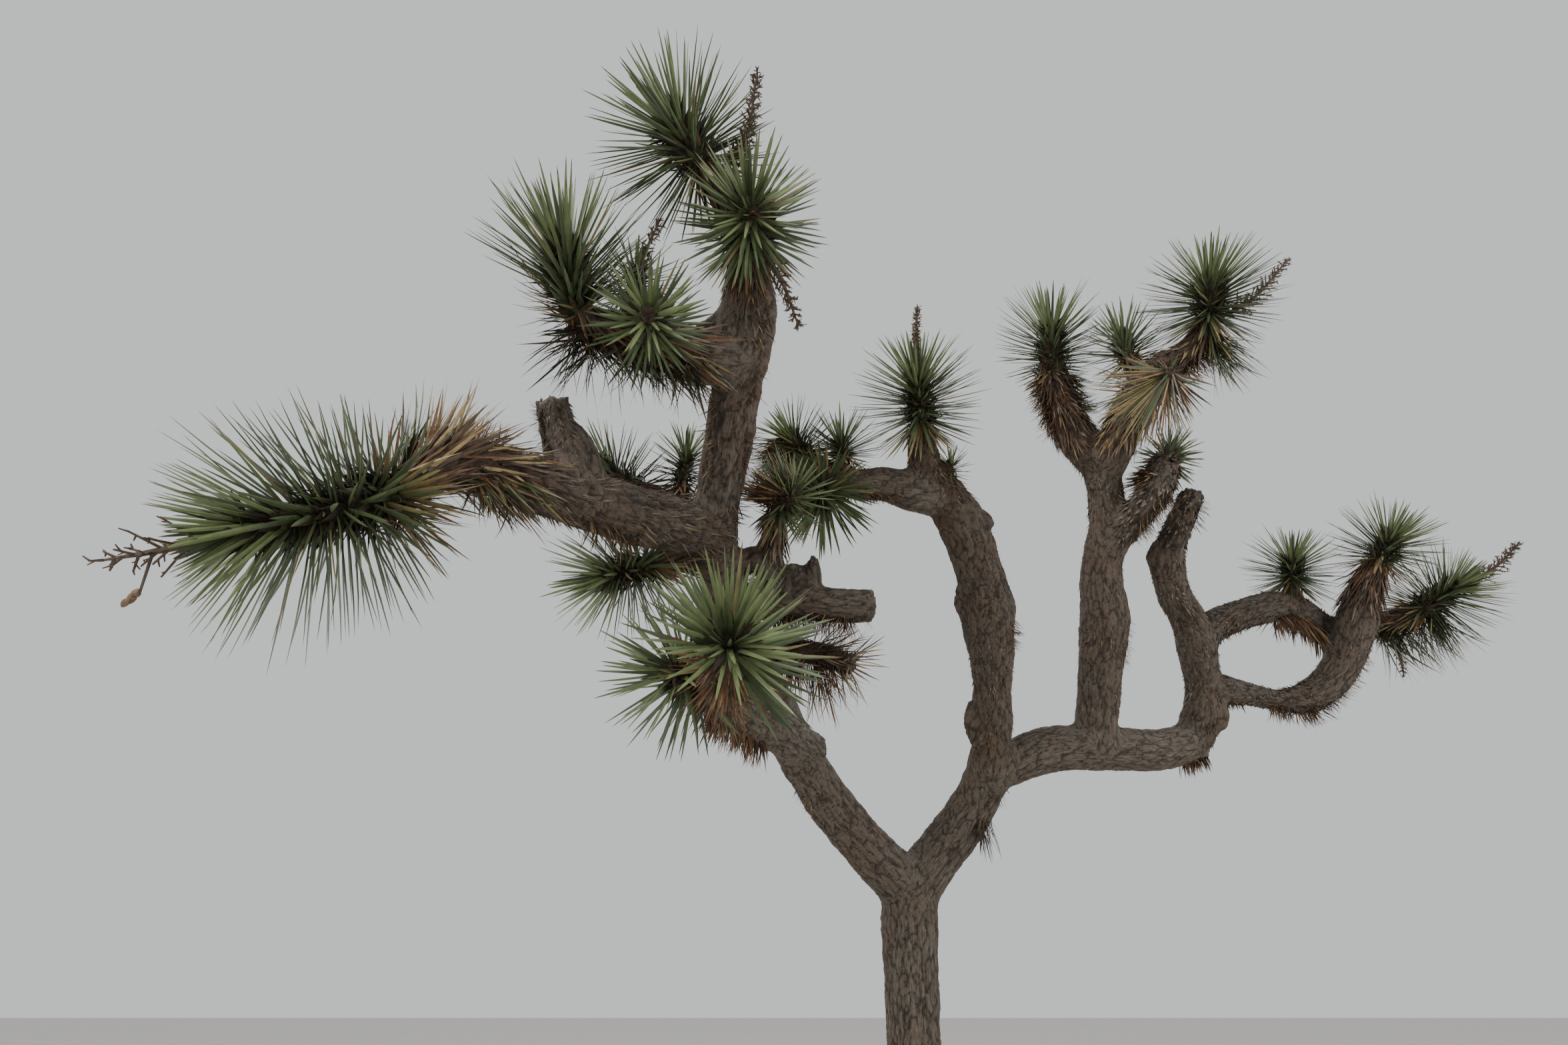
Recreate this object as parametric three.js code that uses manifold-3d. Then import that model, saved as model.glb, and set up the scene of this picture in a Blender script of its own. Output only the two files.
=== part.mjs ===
// A grown joshua tree, from the flat cut of its trunk at ground level to the tips of its dagger leaves.
// Millimetres, +Z up, with the origin in the middle of that cut. The tree is seen from -Y in its usual view.
import * as THREE from 'three';
import { mergeVertices } from 'three/addons/utils/BufferGeometryUtils.js';
import Module from 'manifold-3d';

const wasm = await Module();
wasm.setup();

// Driving dimensions
const JOINT_GAP = 0.3;         // clear space between two limbs, and between a limb and a shoot
const CUT_CLEARANCE = 0.4;     // how far a limb is cut back from the surface of the one that bears it
const END_CLEARANCE = 0.28;    // the same at that one's flat ends, just short of the joint's own gap
const LEAF_CLEARANCE = 0.5;    // least space between a leaf and a limb or another shoot
const LIMB_SIDES = 8;
const SHOOT_SIDES = 6;
const STALK_SIDES = 3;
const RINGS_PER_SPAN = 2;      // cross sections from one joint to the next
const UNEVENNESS = 0.05;       // how far a limb's girth swells and sinks round its section
const LOBES = 3;               // swellings round a section
const LOBE_DRIFT = 1.7;        // how far they turn from one section to the next, in radians
const PHASE_STEP = 1.3;        // and from one line of growth to the next
const FLARE = 105;             // how far the foot of the trunk spreads past its girth
const FLARE_HEIGHT = 170;      // height over which most of that spread is gone
const BUTTRESSES = 5;          // ridges that run down into the roots
const BUTTRESS_DEPTH = 0.35;   // their height against the spread
const BELOW_GROUND = 400;      // depth of the block that cuts the trunk off level
const GROUND_WIDTH = 2000;
const LEAF_WIDTH = 34;         // one leaf stands for a few, so it is wider than a real one
const LEAF_KEEL = 15;          // depth of the keel under the leaf, at its root
const GOLDEN_ANGLE = Math.PI * (3 - Math.sqrt(5));
const FORWARD_ANGLE = THREE.MathUtils.degToRad(14);    // youngest leaves, round the shoot's bud
const REFLEXED_ANGLE = THREE.MathUtils.degToRad(138);  // oldest leaves, folded back along the bough
const DEAD_FORWARD_ANGLE = THREE.MathUtils.degToRad(50);
const DEAD_REFLEXED_ANGLE = THREE.MathUtils.degToRad(155);
const OLD_AGE = 0.6;           // age, from 0 at the bud to 1 at the foot, past which a leaf is an old one
const OLD_LEAF = 0.74;         // length of an old leaf against those in their prime
const LEAF_VARIATION = 0.14;   // how much shorter than its neighbours a leaf may be
const TILT_JITTER = 0.22;      // unevenness of the leaves' angles, in radians
const TURN_JITTER = 0.5;
const BUD_PLACE = 0.97;        // where on its shoot the youngest leaf stands
const BARE_FOOT = 0.06;        // share of a shoot that bears no leaves, where its piece doesn't say
const ROOT_DEPTH = 0.3;        // how far from the shoot's axis a leaf starts, against the shoot's girth
const FULL_WIDTH_LEAF = 230;   // leaves shorter than this are narrower too
const STALK_GIRTHS = [13, 9, 4];
const POD_LENGTH = 62;
const POD_GIRTH = 17;
const POD_VARIATION = 0.3;
const POD_PLACE = 0.4;         // how far out along its own length a pod sits from the stalk's axis
const POD_LEAN = 0.7;          // how much a pod leans towards the stalk's tip
const PODS = 5;
const NEARBY = 1;              // solids whose boxes are further apart than this aren't compared
const MERGE_DISTANCE = 1e-4;

// Finishes
const bark = { color: 0x6f665b, roughness: 0.95, metalness: 0 };
const greenLeaf = { color: 0x66733f, roughness: 0.6, metalness: 0 };
const deadLeaf = { color: 0x8a6a47, roughness: 0.85, metalness: 0 };

// Lines of growth. Each one starts inside the limb that bears it and runs to its last shoot or broken end.
// A joint is x, y, z and half the girth there. A piece runs from where the one before it ends to its own joint.
// Of a shoot, bare is the share of it without leaves, and sag how much longer its hanging leaves are.
const trunkLine = {
  joints: [[-8, -6, -120, 142], [8, 4, 420, 138], [44, 26, 1130, 134], [78, 50, 1960, 163]],
  pieces: [{ limb: 'trunk', to: 3, flare: true }],
};

const leftLine = {
  joints: [
    [70, 40, 1870, 140], [-280, -287, 2152, 116], [-472, -491, 2384, 114], [-682, -879, 2644, 110],
    [-821, -1306, 2874, 104], [-873, -1588, 3056, 100], [-798, -1940, 3360, 98], [-730, -2240, 3650, 102],
    [-716, -2440, 3850, 84], [-700, -2685, 3795, 40],
  ],
  pieces: [
    { limb: 'left_bough', to: 2 },
    { limb: 'long_bough', to: 5 },
    { limb: 'high_bough', to: 8 },
    { shoot: 'high_rosette', to: 9, leaf: 265, leaves: 32,
      stalk: [[-720, -2511, 3835], [-600, -2467, 3662], [-525, -2355, 3511]] },
  ],
};

const crownLine = {
  joints: [[-722, -2400, 3800, 70], [-775, -2505, 3960, 66], [-870, -2610, 4045, 52], [-1001, -2720, 4189, 38]],
  pieces: [
    { limb: 'crown_bough', to: 2 },
    { shoot: 'crown_rosette', to: 3, leaf: 360, leaves: 40,
      stalk: [[-853, -2610, 4043], [-741, -2670, 4105], [-680, -2814, 4350]] },
  ],
};

const upperLeftLine = {
  joints: [
    [-742, -2140, 3540, 108], [-950, -2260, 3467, 110], [-1155, -2380, 3436, 95], [-1310, -2465, 3462, 66],
    [-1350, -2646, 3609, 37],
  ],
  pieces: [
    { limb: 'upper_left_bough', to: 3 },
    { shoot: 'upper_left_rosette', to: 4, leaf: 350, leaves: 38 },
  ],
};

const upperLeftFrontLine = {
  joints: [[-1050, -2320, 3450, 50], [-1055, -2450, 3405, 48], [-1022, -2650, 3279, 32]],
  pieces: [{ shoot: 'upper_left_front_rosette', to: 2, bare: 0.3, leaf: 240, leaves: 32 }],
};

const upperLeftTopLine = {
  joints: [[-1140, -2375, 3440, 42], [-1147, -2400, 3610, 34], [-1120, -2482, 3690, 30]],
  pieces: [{ shoot: 'upper_left_top_rosette', to: 2, bare: 0.45, leaf: 190, leaves: 20,
    stalk: [[-1131, -2450, 3640], [-1116, -2486, 3676], [-1036, -2583, 3820]] }],
};

const lowLeftLine = {
  joints: [
    [-850, -1610, 3050, 104], [-1140, -1885, 2968, 115], [-1356, -2138, 2907, 110], [-1580, -2505, 2781, 86],
    [-1709, -2640, 2574, 50], [-1985, -2803, 2363, 25],
  ],
  pieces: [
    { limb: 'low_left_bough', to: 3 },
    { shoot: 'low_left_rosette', to: 5, sag: 0.2, leaf: 365, leaves: 54,
      stalk: [[-1945, -2780, 2390], [-2092, -2825, 2319], [-2238, -2858, 2277]] },
  ],
};

const snappedLine = {
  joints: [[-1323, -2100, 2915, 92], [-1426, -2267, 3225, 63]],
  pieces: [{ limb: 'snapped_stub', to: 1 }],
};

const innerLeftLine = {
  joints: [[-852, -1600, 3070, 80], [-1000, -1580, 3163, 84], [-1223, -1550, 3284, 62], [-1420, -1590, 3440, 35]],
  pieces: [
    { limb: 'inner_left_bough', to: 2 },
    { shoot: 'inner_left_rosette', to: 3, leaf: 235, leaves: 28 },
  ],
};

const innerLeftSmallLine = {
  joints: [[-1055, -1572, 3195, 42], [-1029, -1580, 3372, 36], [-1009, -1653, 3464, 30]],
  pieces: [{ shoot: 'inner_left_small_rosette', to: 2, bare: 0.5, leaf: 190, leaves: 20 }],
};

const smallLeftLine = {
  joints: [[-835, -1505, 3000, 66], [-1122, -1610, 2897, 50], [-1315, -1699, 2791, 32]],
  pieces: [
    { limb: 'small_left_bough', to: 1 },
    { shoot: 'small_left_rosette', to: 2, leaf: 260, leaves: 26 },
  ],
};

const nearLine = {
  joints: [
    [-450, -520, 2410, 104], [-715, -1090, 2408, 94], [-833, -1639, 2355, 84], [-775, -1870, 2358, 56],
    [-750, -2280, 2300, 35],
  ],
  pieces: [
    { limb: 'near_bough', to: 3 },
    { shoot: 'near_rosette', to: 4, leaf: 350, leaves: 44 },
  ],
};

const nearSideLine = {
  joints: [[-830, -1640, 2355, 50], [-985, -1900, 2345, 35]],
  pieces: [{ shoot: 'near_side_rosette', to: 1, bare: 0.35, leaf: 290, leaves: 28 }],
};

const sawnLine = {
  joints: [[-760, -1290, 2872, 82], [-210, -1477, 2770, 67]],
  pieces: [{ limb: 'sawn_stub', to: 1, pegs: [
    [[-462, -1392, 2815, 38], [-447, -1491, 2991, 28]],
    [[-512, -1376, 2830, 42], [-512, -1456, 2965, 40]],
  ] }],
};

const droopingLine = {
  joints: [[-715, -1060, 2745, 74], [-470, -1240, 2660, 66], [-290, -1345, 2560, 46]],
  pieces: [
    { limb: 'drooping_bough', to: 1 },
    { shoot: 'dead_rosette', to: 2, leaf: 250, leaves: 28, dead: true },
  ],
};

const uprightLine = {
  joints: [[-640, -1330, 2850, 56], [-612, -1584, 3148, 56], [-525, -1770, 3166, 35]],
  pieces: [
    { limb: 'upright_bough', to: 1 },
    { shoot: 'upright_rosette', to: 2, leaf: 190, leaves: 22 },
  ],
};

const rightLine = {
  joints: [
    [88, 55, 1870, 142], [374, -76, 2165, 121], [509, -196, 2368, 118], [508, -532, 2742, 101],
    [463, -796, 3060, 148], [398, -991, 3256, 108], [295, -1165, 3422, 109], [117, -1324, 3590, 88],
    [86, -1462, 3730, 56], [49, -1654, 3899, 38],
  ],
  pieces: [
    { limb: 'right_bough', to: 2 },
    { limb: 'middle_bough', to: 4 },
    { limb: 'middle_bough_upper', to: 8 },
    { shoot: 'middle_rosette', to: 9, leaf: 305, leaves: 34,
      stalk: [[56, -1607, 3857], [46, -1735, 4035], [53, -1812, 4166]] },
  ],
};

const middleSideLine = {
  joints: [[255, -1178, 3441, 36], [236, -1305, 3539, 29], [228, -1382, 3597, 23]],
  pieces: [{ shoot: 'middle_side_rosette', to: 2, bare: 0.55, leaf: 110, leaves: 14 }],
};

const archLine = {
  joints: [
    [165, -1255, 3505, 80], [-82, -1318, 3485, 80], [-308, -1394, 3457, 74], [-454, -1390, 3585, 50],
    [-567, -1446, 3702, 35],
  ],
  pieces: [
    { limb: 'arch_bough', to: 3 },
    { shoot: 'arch_end_rosette', to: 4, leaf: 225, leaves: 28 },
  ],
};

const archTopLine = {
  joints: [[-290, -1390, 3460, 36], [-300, -1420, 3570, 32], [-308, -1455, 3650, 24]],
  pieces: [{ shoot: 'arch_top_rosette', to: 2, bare: 0.5, leaf: 215, leaves: 20 }],
};

const archLowLine = {
  joints: [[-320, -1395, 3460, 44], [-385, -1475, 3365, 42], [-431, -1540, 3262, 32]],
  pieces: [{ shoot: 'arch_low_rosette', to: 2, bare: 0.4, leaf: 225, leaves: 26 }],
};

const armLine = {
  joints: [[470, -175, 2345, 104], [808, -207, 2486, 119], [1153, -168, 2518, 124], [1540, -45, 2545, 117],
    [1800, 22, 2610, 114]],
  pieces: [{ limb: 'long_arm', to: 4 }],
};

const brokenLine = {
  joints: [
    [1765, 8, 2605, 112], [1831, -90, 2781, 107], [1823, -203, 2972, 99], [1732, -376, 3166, 106],
    [1601, -515, 3304, 90], [1562, -625, 3450, 98], [1692, -823, 3747, 74],
  ],
  pieces: [
    { limb: 'broken_bough', to: 4 },
    { limb: 'broken_bough_top', to: 6 },
  ],
};

const tallLine = {
  joints: [
    [1139, -180, 2530, 106], [1166, -346, 2919, 120], [1199, -478, 3142, 137], [1197, -582, 3379, 115],
    [1231, -697, 3614, 105], [1201, -849, 3872, 98], [1029, -977, 4088, 123], [924, -1134, 4335, 96],
    [910, -1301, 4578, 45],
  ],
  pieces: [
    { limb: 'tall_bough', to: 3 },
    { limb: 'tall_bough_upper', to: 5 },
    { limb: 'tall_left_fork', to: 7 },
    { shoot: 'tall_left_rosette', to: 8, leaf: 315, leaves: 34 },
  ],
};

const tallRightLine = {
  joints: [
    [1205, -835, 3850, 94], [1269, -1149, 4014, 118], [1350, -1350, 4140, 96], [1526, -1417, 4244, 76],
    [1623, -1479, 4349, 62], [1621, -1650, 4540, 40],
  ],
  pieces: [
    { limb: 'tall_right_fork', to: 2 },
    { limb: 'tall_right_bough', to: 4 },
    { shoot: 'tall_right_rosette', to: 5, leaf: 350, leaves: 36,
      stalk: [[1632, -1504, 4372], [1829, -1576, 4456], [2065, -1703, 4631]] },
  ],
};

const tallMiddleLine = {
  joints: [[1325, -1300, 4130, 44], [1262, -1325, 4280, 44], [1256, -1345, 4470, 35]],
  pieces: [{ shoot: 'tall_middle_rosette', to: 2, bare: 0.4, leaf: 235, leaves: 26 }],
};

const tanLine = {
  joints: [[1285, -1180, 4020, 62], [1266, -1500, 3950, 58], [1130, -1850, 3740, 40]],
  pieces: [{ shoot: 'tan_rosette', to: 2, bare: 0.42, leaf: 345, leaves: 38, dead: true }],
};

const knobbedLine = {
  joints: [[1218, -640, 3490, 82], [1415, -914, 3684, 101], [1553, -866, 3901, 86], [1711, -741, 4125, 39]],
  pieces: [
    { limb: 'knobbed_bough', to: 2 },
    { shoot: 'knobbed_rosette', to: 3, leaf: 190, leaves: 22 },
  ],
};

const farLine = {
  joints: [
    [1785, -285, 3065, 94], [1905, -263, 3180, 100], [2120, -258, 3275, 93], [2433, -195, 3352, 95],
    [2818, 55, 3300, 97], [3141, 105, 3354, 83], [3374, 5, 3406, 66], [3575, -180, 3525, 38],
  ],
  pieces: [
    { limb: 'far_bough', to: 3 },
    { limb: 'far_bough_tip', to: 6 },
    { shoot: 'far_tip_rosette', to: 7, leaf: 330, leaves: 34,
      stalk: [[3538, -165, 3499], [3754, -230, 3589], [3895, -313, 3710]] },
  ],
};

const farSideLine = {
  joints: [[2438, -195, 3355, 52], [2474, -225, 3440, 50], [2477, -327, 3575, 35]],
  pieces: [{ shoot: 'far_side_rosette', to: 2, bare: 0.4, leaf: 295, leaves: 28 }],
};

const loopLine = {
  joints: [
    [1815, -130, 2855, 92], [1945, -120, 2935, 86], [2140, -33, 2870, 59], [2313, -11, 2837, 64],
    [2506, -18, 2855, 98], [2698, -73, 3003, 102], [2807, -193, 3236, 114], [2877, -273, 3420, 103],
    [2973, -340, 3577, 64], [3018, -453, 3692, 36],
  ],
  pieces: [
    { limb: 'loop_bough', to: 4 },
    { limb: 'loop_bough_upper', to: 8 },
    { shoot: 'loop_rosette', to: 9, leaf: 290, leaves: 28 },
  ],
};

// Limbs are made in this order, and each is cut back from those before it
const lines = [
  trunkLine, leftLine, crownLine, upperLeftLine, upperLeftFrontLine, upperLeftTopLine, lowLeftLine,
  snappedLine, innerLeftLine, innerLeftSmallLine, smallLeftLine, nearLine, nearSideLine, sawnLine,
  droopingLine, uprightLine, rightLine, middleSideLine, archLine, archTopLine, archLowLine, armLine,
  brokenLine, tallLine, tallRightLine, tallMiddleLine, tanLine, knobbedLine, farLine, farSideLine, loopLine,
];

function seededRandom(seed) {
  let state = seed >>> 0;
  return () => {
    state = (state + 0x6d2b79f5) >>> 0;
    let mixed = Math.imul(state ^ (state >>> 15), state | 1);
    mixed ^= mixed + Math.imul(mixed ^ (mixed >>> 7), mixed | 61);
    return ((mixed ^ (mixed >>> 14)) >>> 0) / 4294967296;
  };
}

function toSolid(geometry) {
  const bare = geometry.index ? geometry.toNonIndexed() : geometry;
  bare.deleteAttribute('normal');
  bare.deleteAttribute('uv');
  const joined = mergeVertices(bare, MERGE_DISTANCE);
  return new wasm.Manifold(new wasm.Mesh({
    numProp: 3,
    vertProperties: new Float32Array(joined.attributes.position.array),
    triVerts: new Uint32Array(joined.index.array),
  }));
}

function toMesh(name, solid, finish) {
  const { vertProperties, triVerts } = solid.getMesh();
  const geometry = new THREE.BufferGeometry();
  geometry.setAttribute('position', new THREE.BufferAttribute(vertProperties, 3));
  geometry.setIndex(new THREE.BufferAttribute(triVerts, 1));
  geometry.computeVertexNormals();
  const mesh = new THREE.Mesh(geometry, new THREE.MeshStandardMaterial(finish));
  mesh.name = name;
  return mesh;
}

// The curve of a line of growth, with its cross sections carried along it without twist
function growthPath(joints, ringsPerSpan = RINGS_PER_SPAN) {
  const curve = new THREE.CatmullRomCurve3(joints.map(([x, y, z]) => new THREE.Vector3(x, y, z)));
  const spans = joints.length - 1;
  const rings = [];
  let side = new THREE.Vector3(1, 0, 0);
  for (let ring = 0; ring <= spans * ringsPerSpan; ring++) {
    const at = ring / (spans * ringsPerSpan);
    const along = curve.getTangent(at);
    side = side.clone().addScaledVector(along, -side.dot(along)).normalize();
    const span = Math.min(Math.floor(at * spans), spans - 1);
    const share = at * spans - span;
    rings.push({
      centre: curve.getPoint(at),
      along,
      side,
      across: new THREE.Vector3().crossVectors(along, side),
      girth: THREE.MathUtils.lerp(joints[span][3], joints[span + 1][3], share),
    });
  }
  return rings;
}

// A tapering rod through some rings of a path: a cylinder whose vertices are carried onto them
function rod(rings, { sides, phase = 0, uneven = 0, swell = 0, startGap = 0, endGap = 0, flare = false }) {
  const last = rings.length - 1;
  const geometry = new THREE.CylinderGeometry(1, 1, 1, sides, last);
  const place = geometry.attributes.position;
  for (let i = 0; i < place.count; i++) {
    const index = Math.round((place.getY(i) + 0.5) * last);
    const { centre, along, side, across, girth } = rings[index];
    const reach = Math.hypot(place.getX(i), place.getZ(i));
    const turn = Math.atan2(place.getZ(i), place.getX(i));
    let radius = girth * (1 + uneven * Math.sin(LOBES * turn + phase + LOBE_DRIFT * index)) + swell;
    if (flare) {
      const spread = FLARE * Math.exp(-Math.max(centre.z, 0) / FLARE_HEIGHT);
      radius += spread * (1 + BUTTRESS_DEPTH * Math.cos(BUTTRESSES * turn));
    }
    const shift = index === 0 ? startGap : index === last ? -endGap : 0;
    const point = centre.clone().addScaledVector(along, shift);
    point.addScaledVector(across, reach * radius * Math.cos(turn));
    point.addScaledVector(side, reach * radius * Math.sin(turn));
    place.setXYZ(i, point.x, point.y, point.z);
  }
  return toSolid(geometry);
}

function largestBody(solid) {
  return solid.decompose().reduce((best, body) => (body.volume() > best.volume() ? body : best));
}

function boxesMeet(one, other) {
  const a = one.boundingBox();
  const b = other.boundingBox();
  return [0, 1, 2].every((k) => a.min[k] - NEARBY < b.max[k] && b.min[k] - NEARBY < a.max[k]);
}

function cutBack(solid, hollows) {
  const near = hollows.filter((hollow) => boxesMeet(solid, hollow));
  return largestBody(near.reduce((rest, hollow) => rest.subtract(hollow), solid));
}

// One dagger leaf: flat above, keeled below, widest at its root and drawn out to its point
function leafSolid(root, direction, back, length, width) {
  const geometry = new THREE.ConeGeometry(1, 1, 3, 1);
  geometry.translate(0, 0.5, 0);
  // The section is a triangle in a unit circle, so it is the root of 3 wide and 1.5 deep
  geometry.scale(width / Math.sqrt(3), length, LEAF_KEEL / 1.5);
  const across = new THREE.Vector3().crossVectors(direction, back).normalize();
  const under = new THREE.Vector3().crossVectors(across, direction);
  geometry.applyMatrix4(new THREE.Matrix4().makeBasis(across, direction, under).setPosition(root));
  return toSolid(geometry);
}

// The dried flower stalk that stands out of a shoot, with a few pods along its outer half
function stalkSolid(points, random) {
  const rings = growthPath(points.map((point, i) => [...point, STALK_GIRTHS[i]]), 1);
  let stalk = rod(rings, { sides: STALK_SIDES });
  const [, middle, tip] = rings;
  for (let pod = 0; pod < PODS; pod++) {
    const place = middle.centre.clone().lerp(tip.centre, (pod + 0.5) / PODS);
    const turn = pod * GOLDEN_ANGLE;
    const lean = tip.side.clone().multiplyScalar(Math.cos(turn)).addScaledVector(tip.across, Math.sin(turn));
    lean.addScaledVector(tip.along, POD_LEAN).normalize();
    const length = POD_LENGTH * (1 - POD_VARIATION * random());
    const geometry = new THREE.ConeGeometry(POD_GIRTH, length, 3, 1);
    geometry.rotateX(Math.PI).translate(0, POD_LENGTH * POD_PLACE, 0);
    geometry.applyQuaternion(new THREE.Quaternion().setFromUnitVectors(new THREE.Vector3(0, 1, 0), lean));
    geometry.translate(place.x, place.y, place.z);
    stalk = stalk.add(toSolid(geometry));
  }
  return stalk;
}

// The leaves of a shoot, from those folded back at its foot to those round its bud
function shootLeaves(rings, piece, random, obstacles) {
  const [forward, reflexed] = piece.dead
    ? [DEAD_FORWARD_ANGLE, DEAD_REFLEXED_ANGLE] : [FORWARD_ANGLE, REFLEXED_ANGLE];
  const bare = piece.bare ?? BARE_FOOT;
  const sag = piece.sag ?? 0;
  const leaves = [];
  for (let i = 0; i < piece.leaves; i++) {
    const age = 1 - (i + 0.5) / piece.leaves;
    const at = THREE.MathUtils.lerp(BUD_PLACE, bare, age) * (rings.length - 1);
    const ring = rings[Math.floor(at)];
    const next = rings[Math.min(Math.floor(at) + 1, rings.length - 1)];
    const centre = ring.centre.clone().lerp(next.centre, at - Math.floor(at));
    const girth = THREE.MathUtils.lerp(ring.girth, next.girth, at - Math.floor(at));
    const tilt = Math.acos(THREE.MathUtils.lerp(Math.cos(forward), Math.cos(reflexed), age))
      + (random() - 0.5) * TILT_JITTER;
    const turn = i * GOLDEN_ANGLE + (random() - 0.5) * TURN_JITTER;
    const out = ring.side.clone().multiplyScalar(Math.cos(turn)).addScaledVector(ring.across, Math.sin(turn));
    const direction = out.clone().multiplyScalar(Math.sin(tilt)).addScaledVector(ring.along, Math.cos(tilt));
    const back = out.clone().multiplyScalar(Math.cos(tilt)).addScaledVector(ring.along, -Math.sin(tilt));
    const length = piece.leaf * (1 - LEAF_VARIATION * random()) * (age > OLD_AGE ? OLD_LEAF : 1)
      * (1 - sag * direction.z);
    const root = centre.addScaledVector(out, girth * ROOT_DEPTH * Math.sin(tilt));
    const width = LEAF_WIDTH * Math.min(1, piece.leaf / FULL_WIDTH_LEAF);
    const leaf = leafSolid(root, direction, back, length, width);
    const clear = obstacles.every((other) => !boxesMeet(leaf, other)
      || leaf.minGap(other, NEARBY) >= LEAF_CLEARANCE);
    if (clear) leaves.push(leaf);
  }
  return leaves;
}

const limbs = [];
const hollows = [];
const shoots = [];

function growLimb(piece, rings, phase, isFirst) {
  const section = { sides: LIMB_SIDES, uneven: UNEVENNESS, phase, flare: piece.flare };
  let solid = rod(rings, { ...section, startGap: isFirst ? 0 : JOINT_GAP });
  const grown = { ...section, swell: CUT_CLEARANCE, startGap: -END_CLEARANCE, endGap: -END_CLEARANCE };
  let hollow = rod(rings, grown);
  for (const peg of piece.pegs ?? []) {
    const pegRings = growthPath(peg);
    solid = solid.add(rod(pegRings, section));
    hollow = hollow.add(rod(pegRings, grown));
  }
  if (piece.flare) {
    const ground = new THREE.BoxGeometry(GROUND_WIDTH, GROUND_WIDTH, BELOW_GROUND).translate(0, 0, -BELOW_GROUND / 2);
    solid = solid.subtract(toSolid(ground));
  }
  limbs.push({ name: piece.limb, solid: cutBack(solid, hollows) });
  hollows.push(hollow);
}

function growCore({ piece, rings, isFirst }, number) {
  const random = seededRandom(number + 1);
  const stem = rod(rings, { sides: SHOOT_SIDES, startGap: isFirst ? 0 : JOINT_GAP });
  const stalk = piece.stalk ? [stalkSolid(piece.stalk, random)] : [];
  const solid = cutBack(wasm.Manifold.union([stem, ...stalk]), hollows);
  shoots.push({ piece, rings, random, solid, bareStalk: stalk.map((one) => one.subtract(stem)) });
}

function growLeaves(shoot) {
  const { piece, rings, random, solid, bareStalk } = shoot;
  const others = [...limbs, ...shoots].filter((other) => other !== shoot).map((other) => other.solid);
  const leaves = shootLeaves(rings, piece, random, [...others, ...bareStalk]);
  shoot.solid = largestBody(wasm.Manifold.union([solid, ...leaves]));
}

const waiting = [];
lines.forEach(({ joints, pieces }, lineNumber) => {
  const path = growthPath(joints);
  let from = 0;
  pieces.forEach((piece, pieceNumber) => {
    const rings = path.slice(from * RINGS_PER_SPAN, piece.to * RINGS_PER_SPAN + 1);
    const isFirst = pieceNumber === 0;
    if (piece.limb) growLimb(piece, rings, lineNumber * PHASE_STEP + pieceNumber, isFirst);
    else waiting.push({ piece, rings, isFirst });
    from = piece.to;
  });
});
waiting.forEach(growCore);
shoots.forEach(growLeaves);

const tree = new THREE.Group();
limbs.forEach(({ name, solid }) => tree.add(toMesh(name, solid, bark)));
shoots.forEach(({ piece, solid }) => tree.add(toMesh(piece.shoot, solid, piece.dead ? deadLeaf : greenLeaf)));

export default tree;
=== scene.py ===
"""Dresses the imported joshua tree: fissured bark, dead leaves, living rosettes and dried flower stalks."""
import math

import bmesh
import bpy
import numpy as np
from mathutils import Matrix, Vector, kdtree


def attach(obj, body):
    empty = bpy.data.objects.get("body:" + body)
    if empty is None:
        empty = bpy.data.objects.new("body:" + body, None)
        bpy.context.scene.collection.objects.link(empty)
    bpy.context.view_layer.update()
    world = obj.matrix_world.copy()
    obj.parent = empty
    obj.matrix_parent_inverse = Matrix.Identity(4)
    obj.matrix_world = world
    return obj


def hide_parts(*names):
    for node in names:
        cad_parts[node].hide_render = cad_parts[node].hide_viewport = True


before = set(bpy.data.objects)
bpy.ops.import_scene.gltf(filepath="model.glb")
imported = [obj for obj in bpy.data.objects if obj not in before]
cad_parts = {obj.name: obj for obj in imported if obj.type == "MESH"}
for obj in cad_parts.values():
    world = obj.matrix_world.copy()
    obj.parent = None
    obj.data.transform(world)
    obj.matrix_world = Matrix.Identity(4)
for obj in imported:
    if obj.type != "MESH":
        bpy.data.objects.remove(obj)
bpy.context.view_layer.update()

bl_info = {
    "name": "Joshua Tree",
    "version": (1, 0, 0),
    "blender": (4, 5, 0),
    "location": "View3D > Sidebar > Joshua Tree",
    "description": "Grows bark, dagger leaves, thatch and dried flower stalks over a tree's packed limbs",
    "category": "Object",
}

MM = 0.001
GOLDEN_ANGLE = math.pi * (3 - math.sqrt(5))
UP = np.array([0.0, 0.0, 1.0])

# The photograph's view: a wide lens near head height, tilted up at the crown
CAMERA_PLACE = (-0.58, -4.5, 1.4)
CAMERA_TILT = math.radians(90 + 30.5)
CAMERA_LENS_MM = 18
SENSOR_MM = 36

# The stage: lights with their place, size in metres and power, where they point, and the floor and the
# sky
LIGHTS = {
    "key_light": ((-6, -8, 8), 6, 1500),
    "fill_light": ((8, -5, 5), 7, 600),
    "rim_light": ((2, 8, 8), 6, 700),
}
LIT_PLACE = (0.5, -1, 2.6)
FLOOR_SIZE = 80
FLOOR_COLOUR, SKY_COLOUR, SKY_STRENGTH = "#d2cfc9", "#eceeef", 0.85

FINE = 12  # cross sections from one joint of a line to the next

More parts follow.
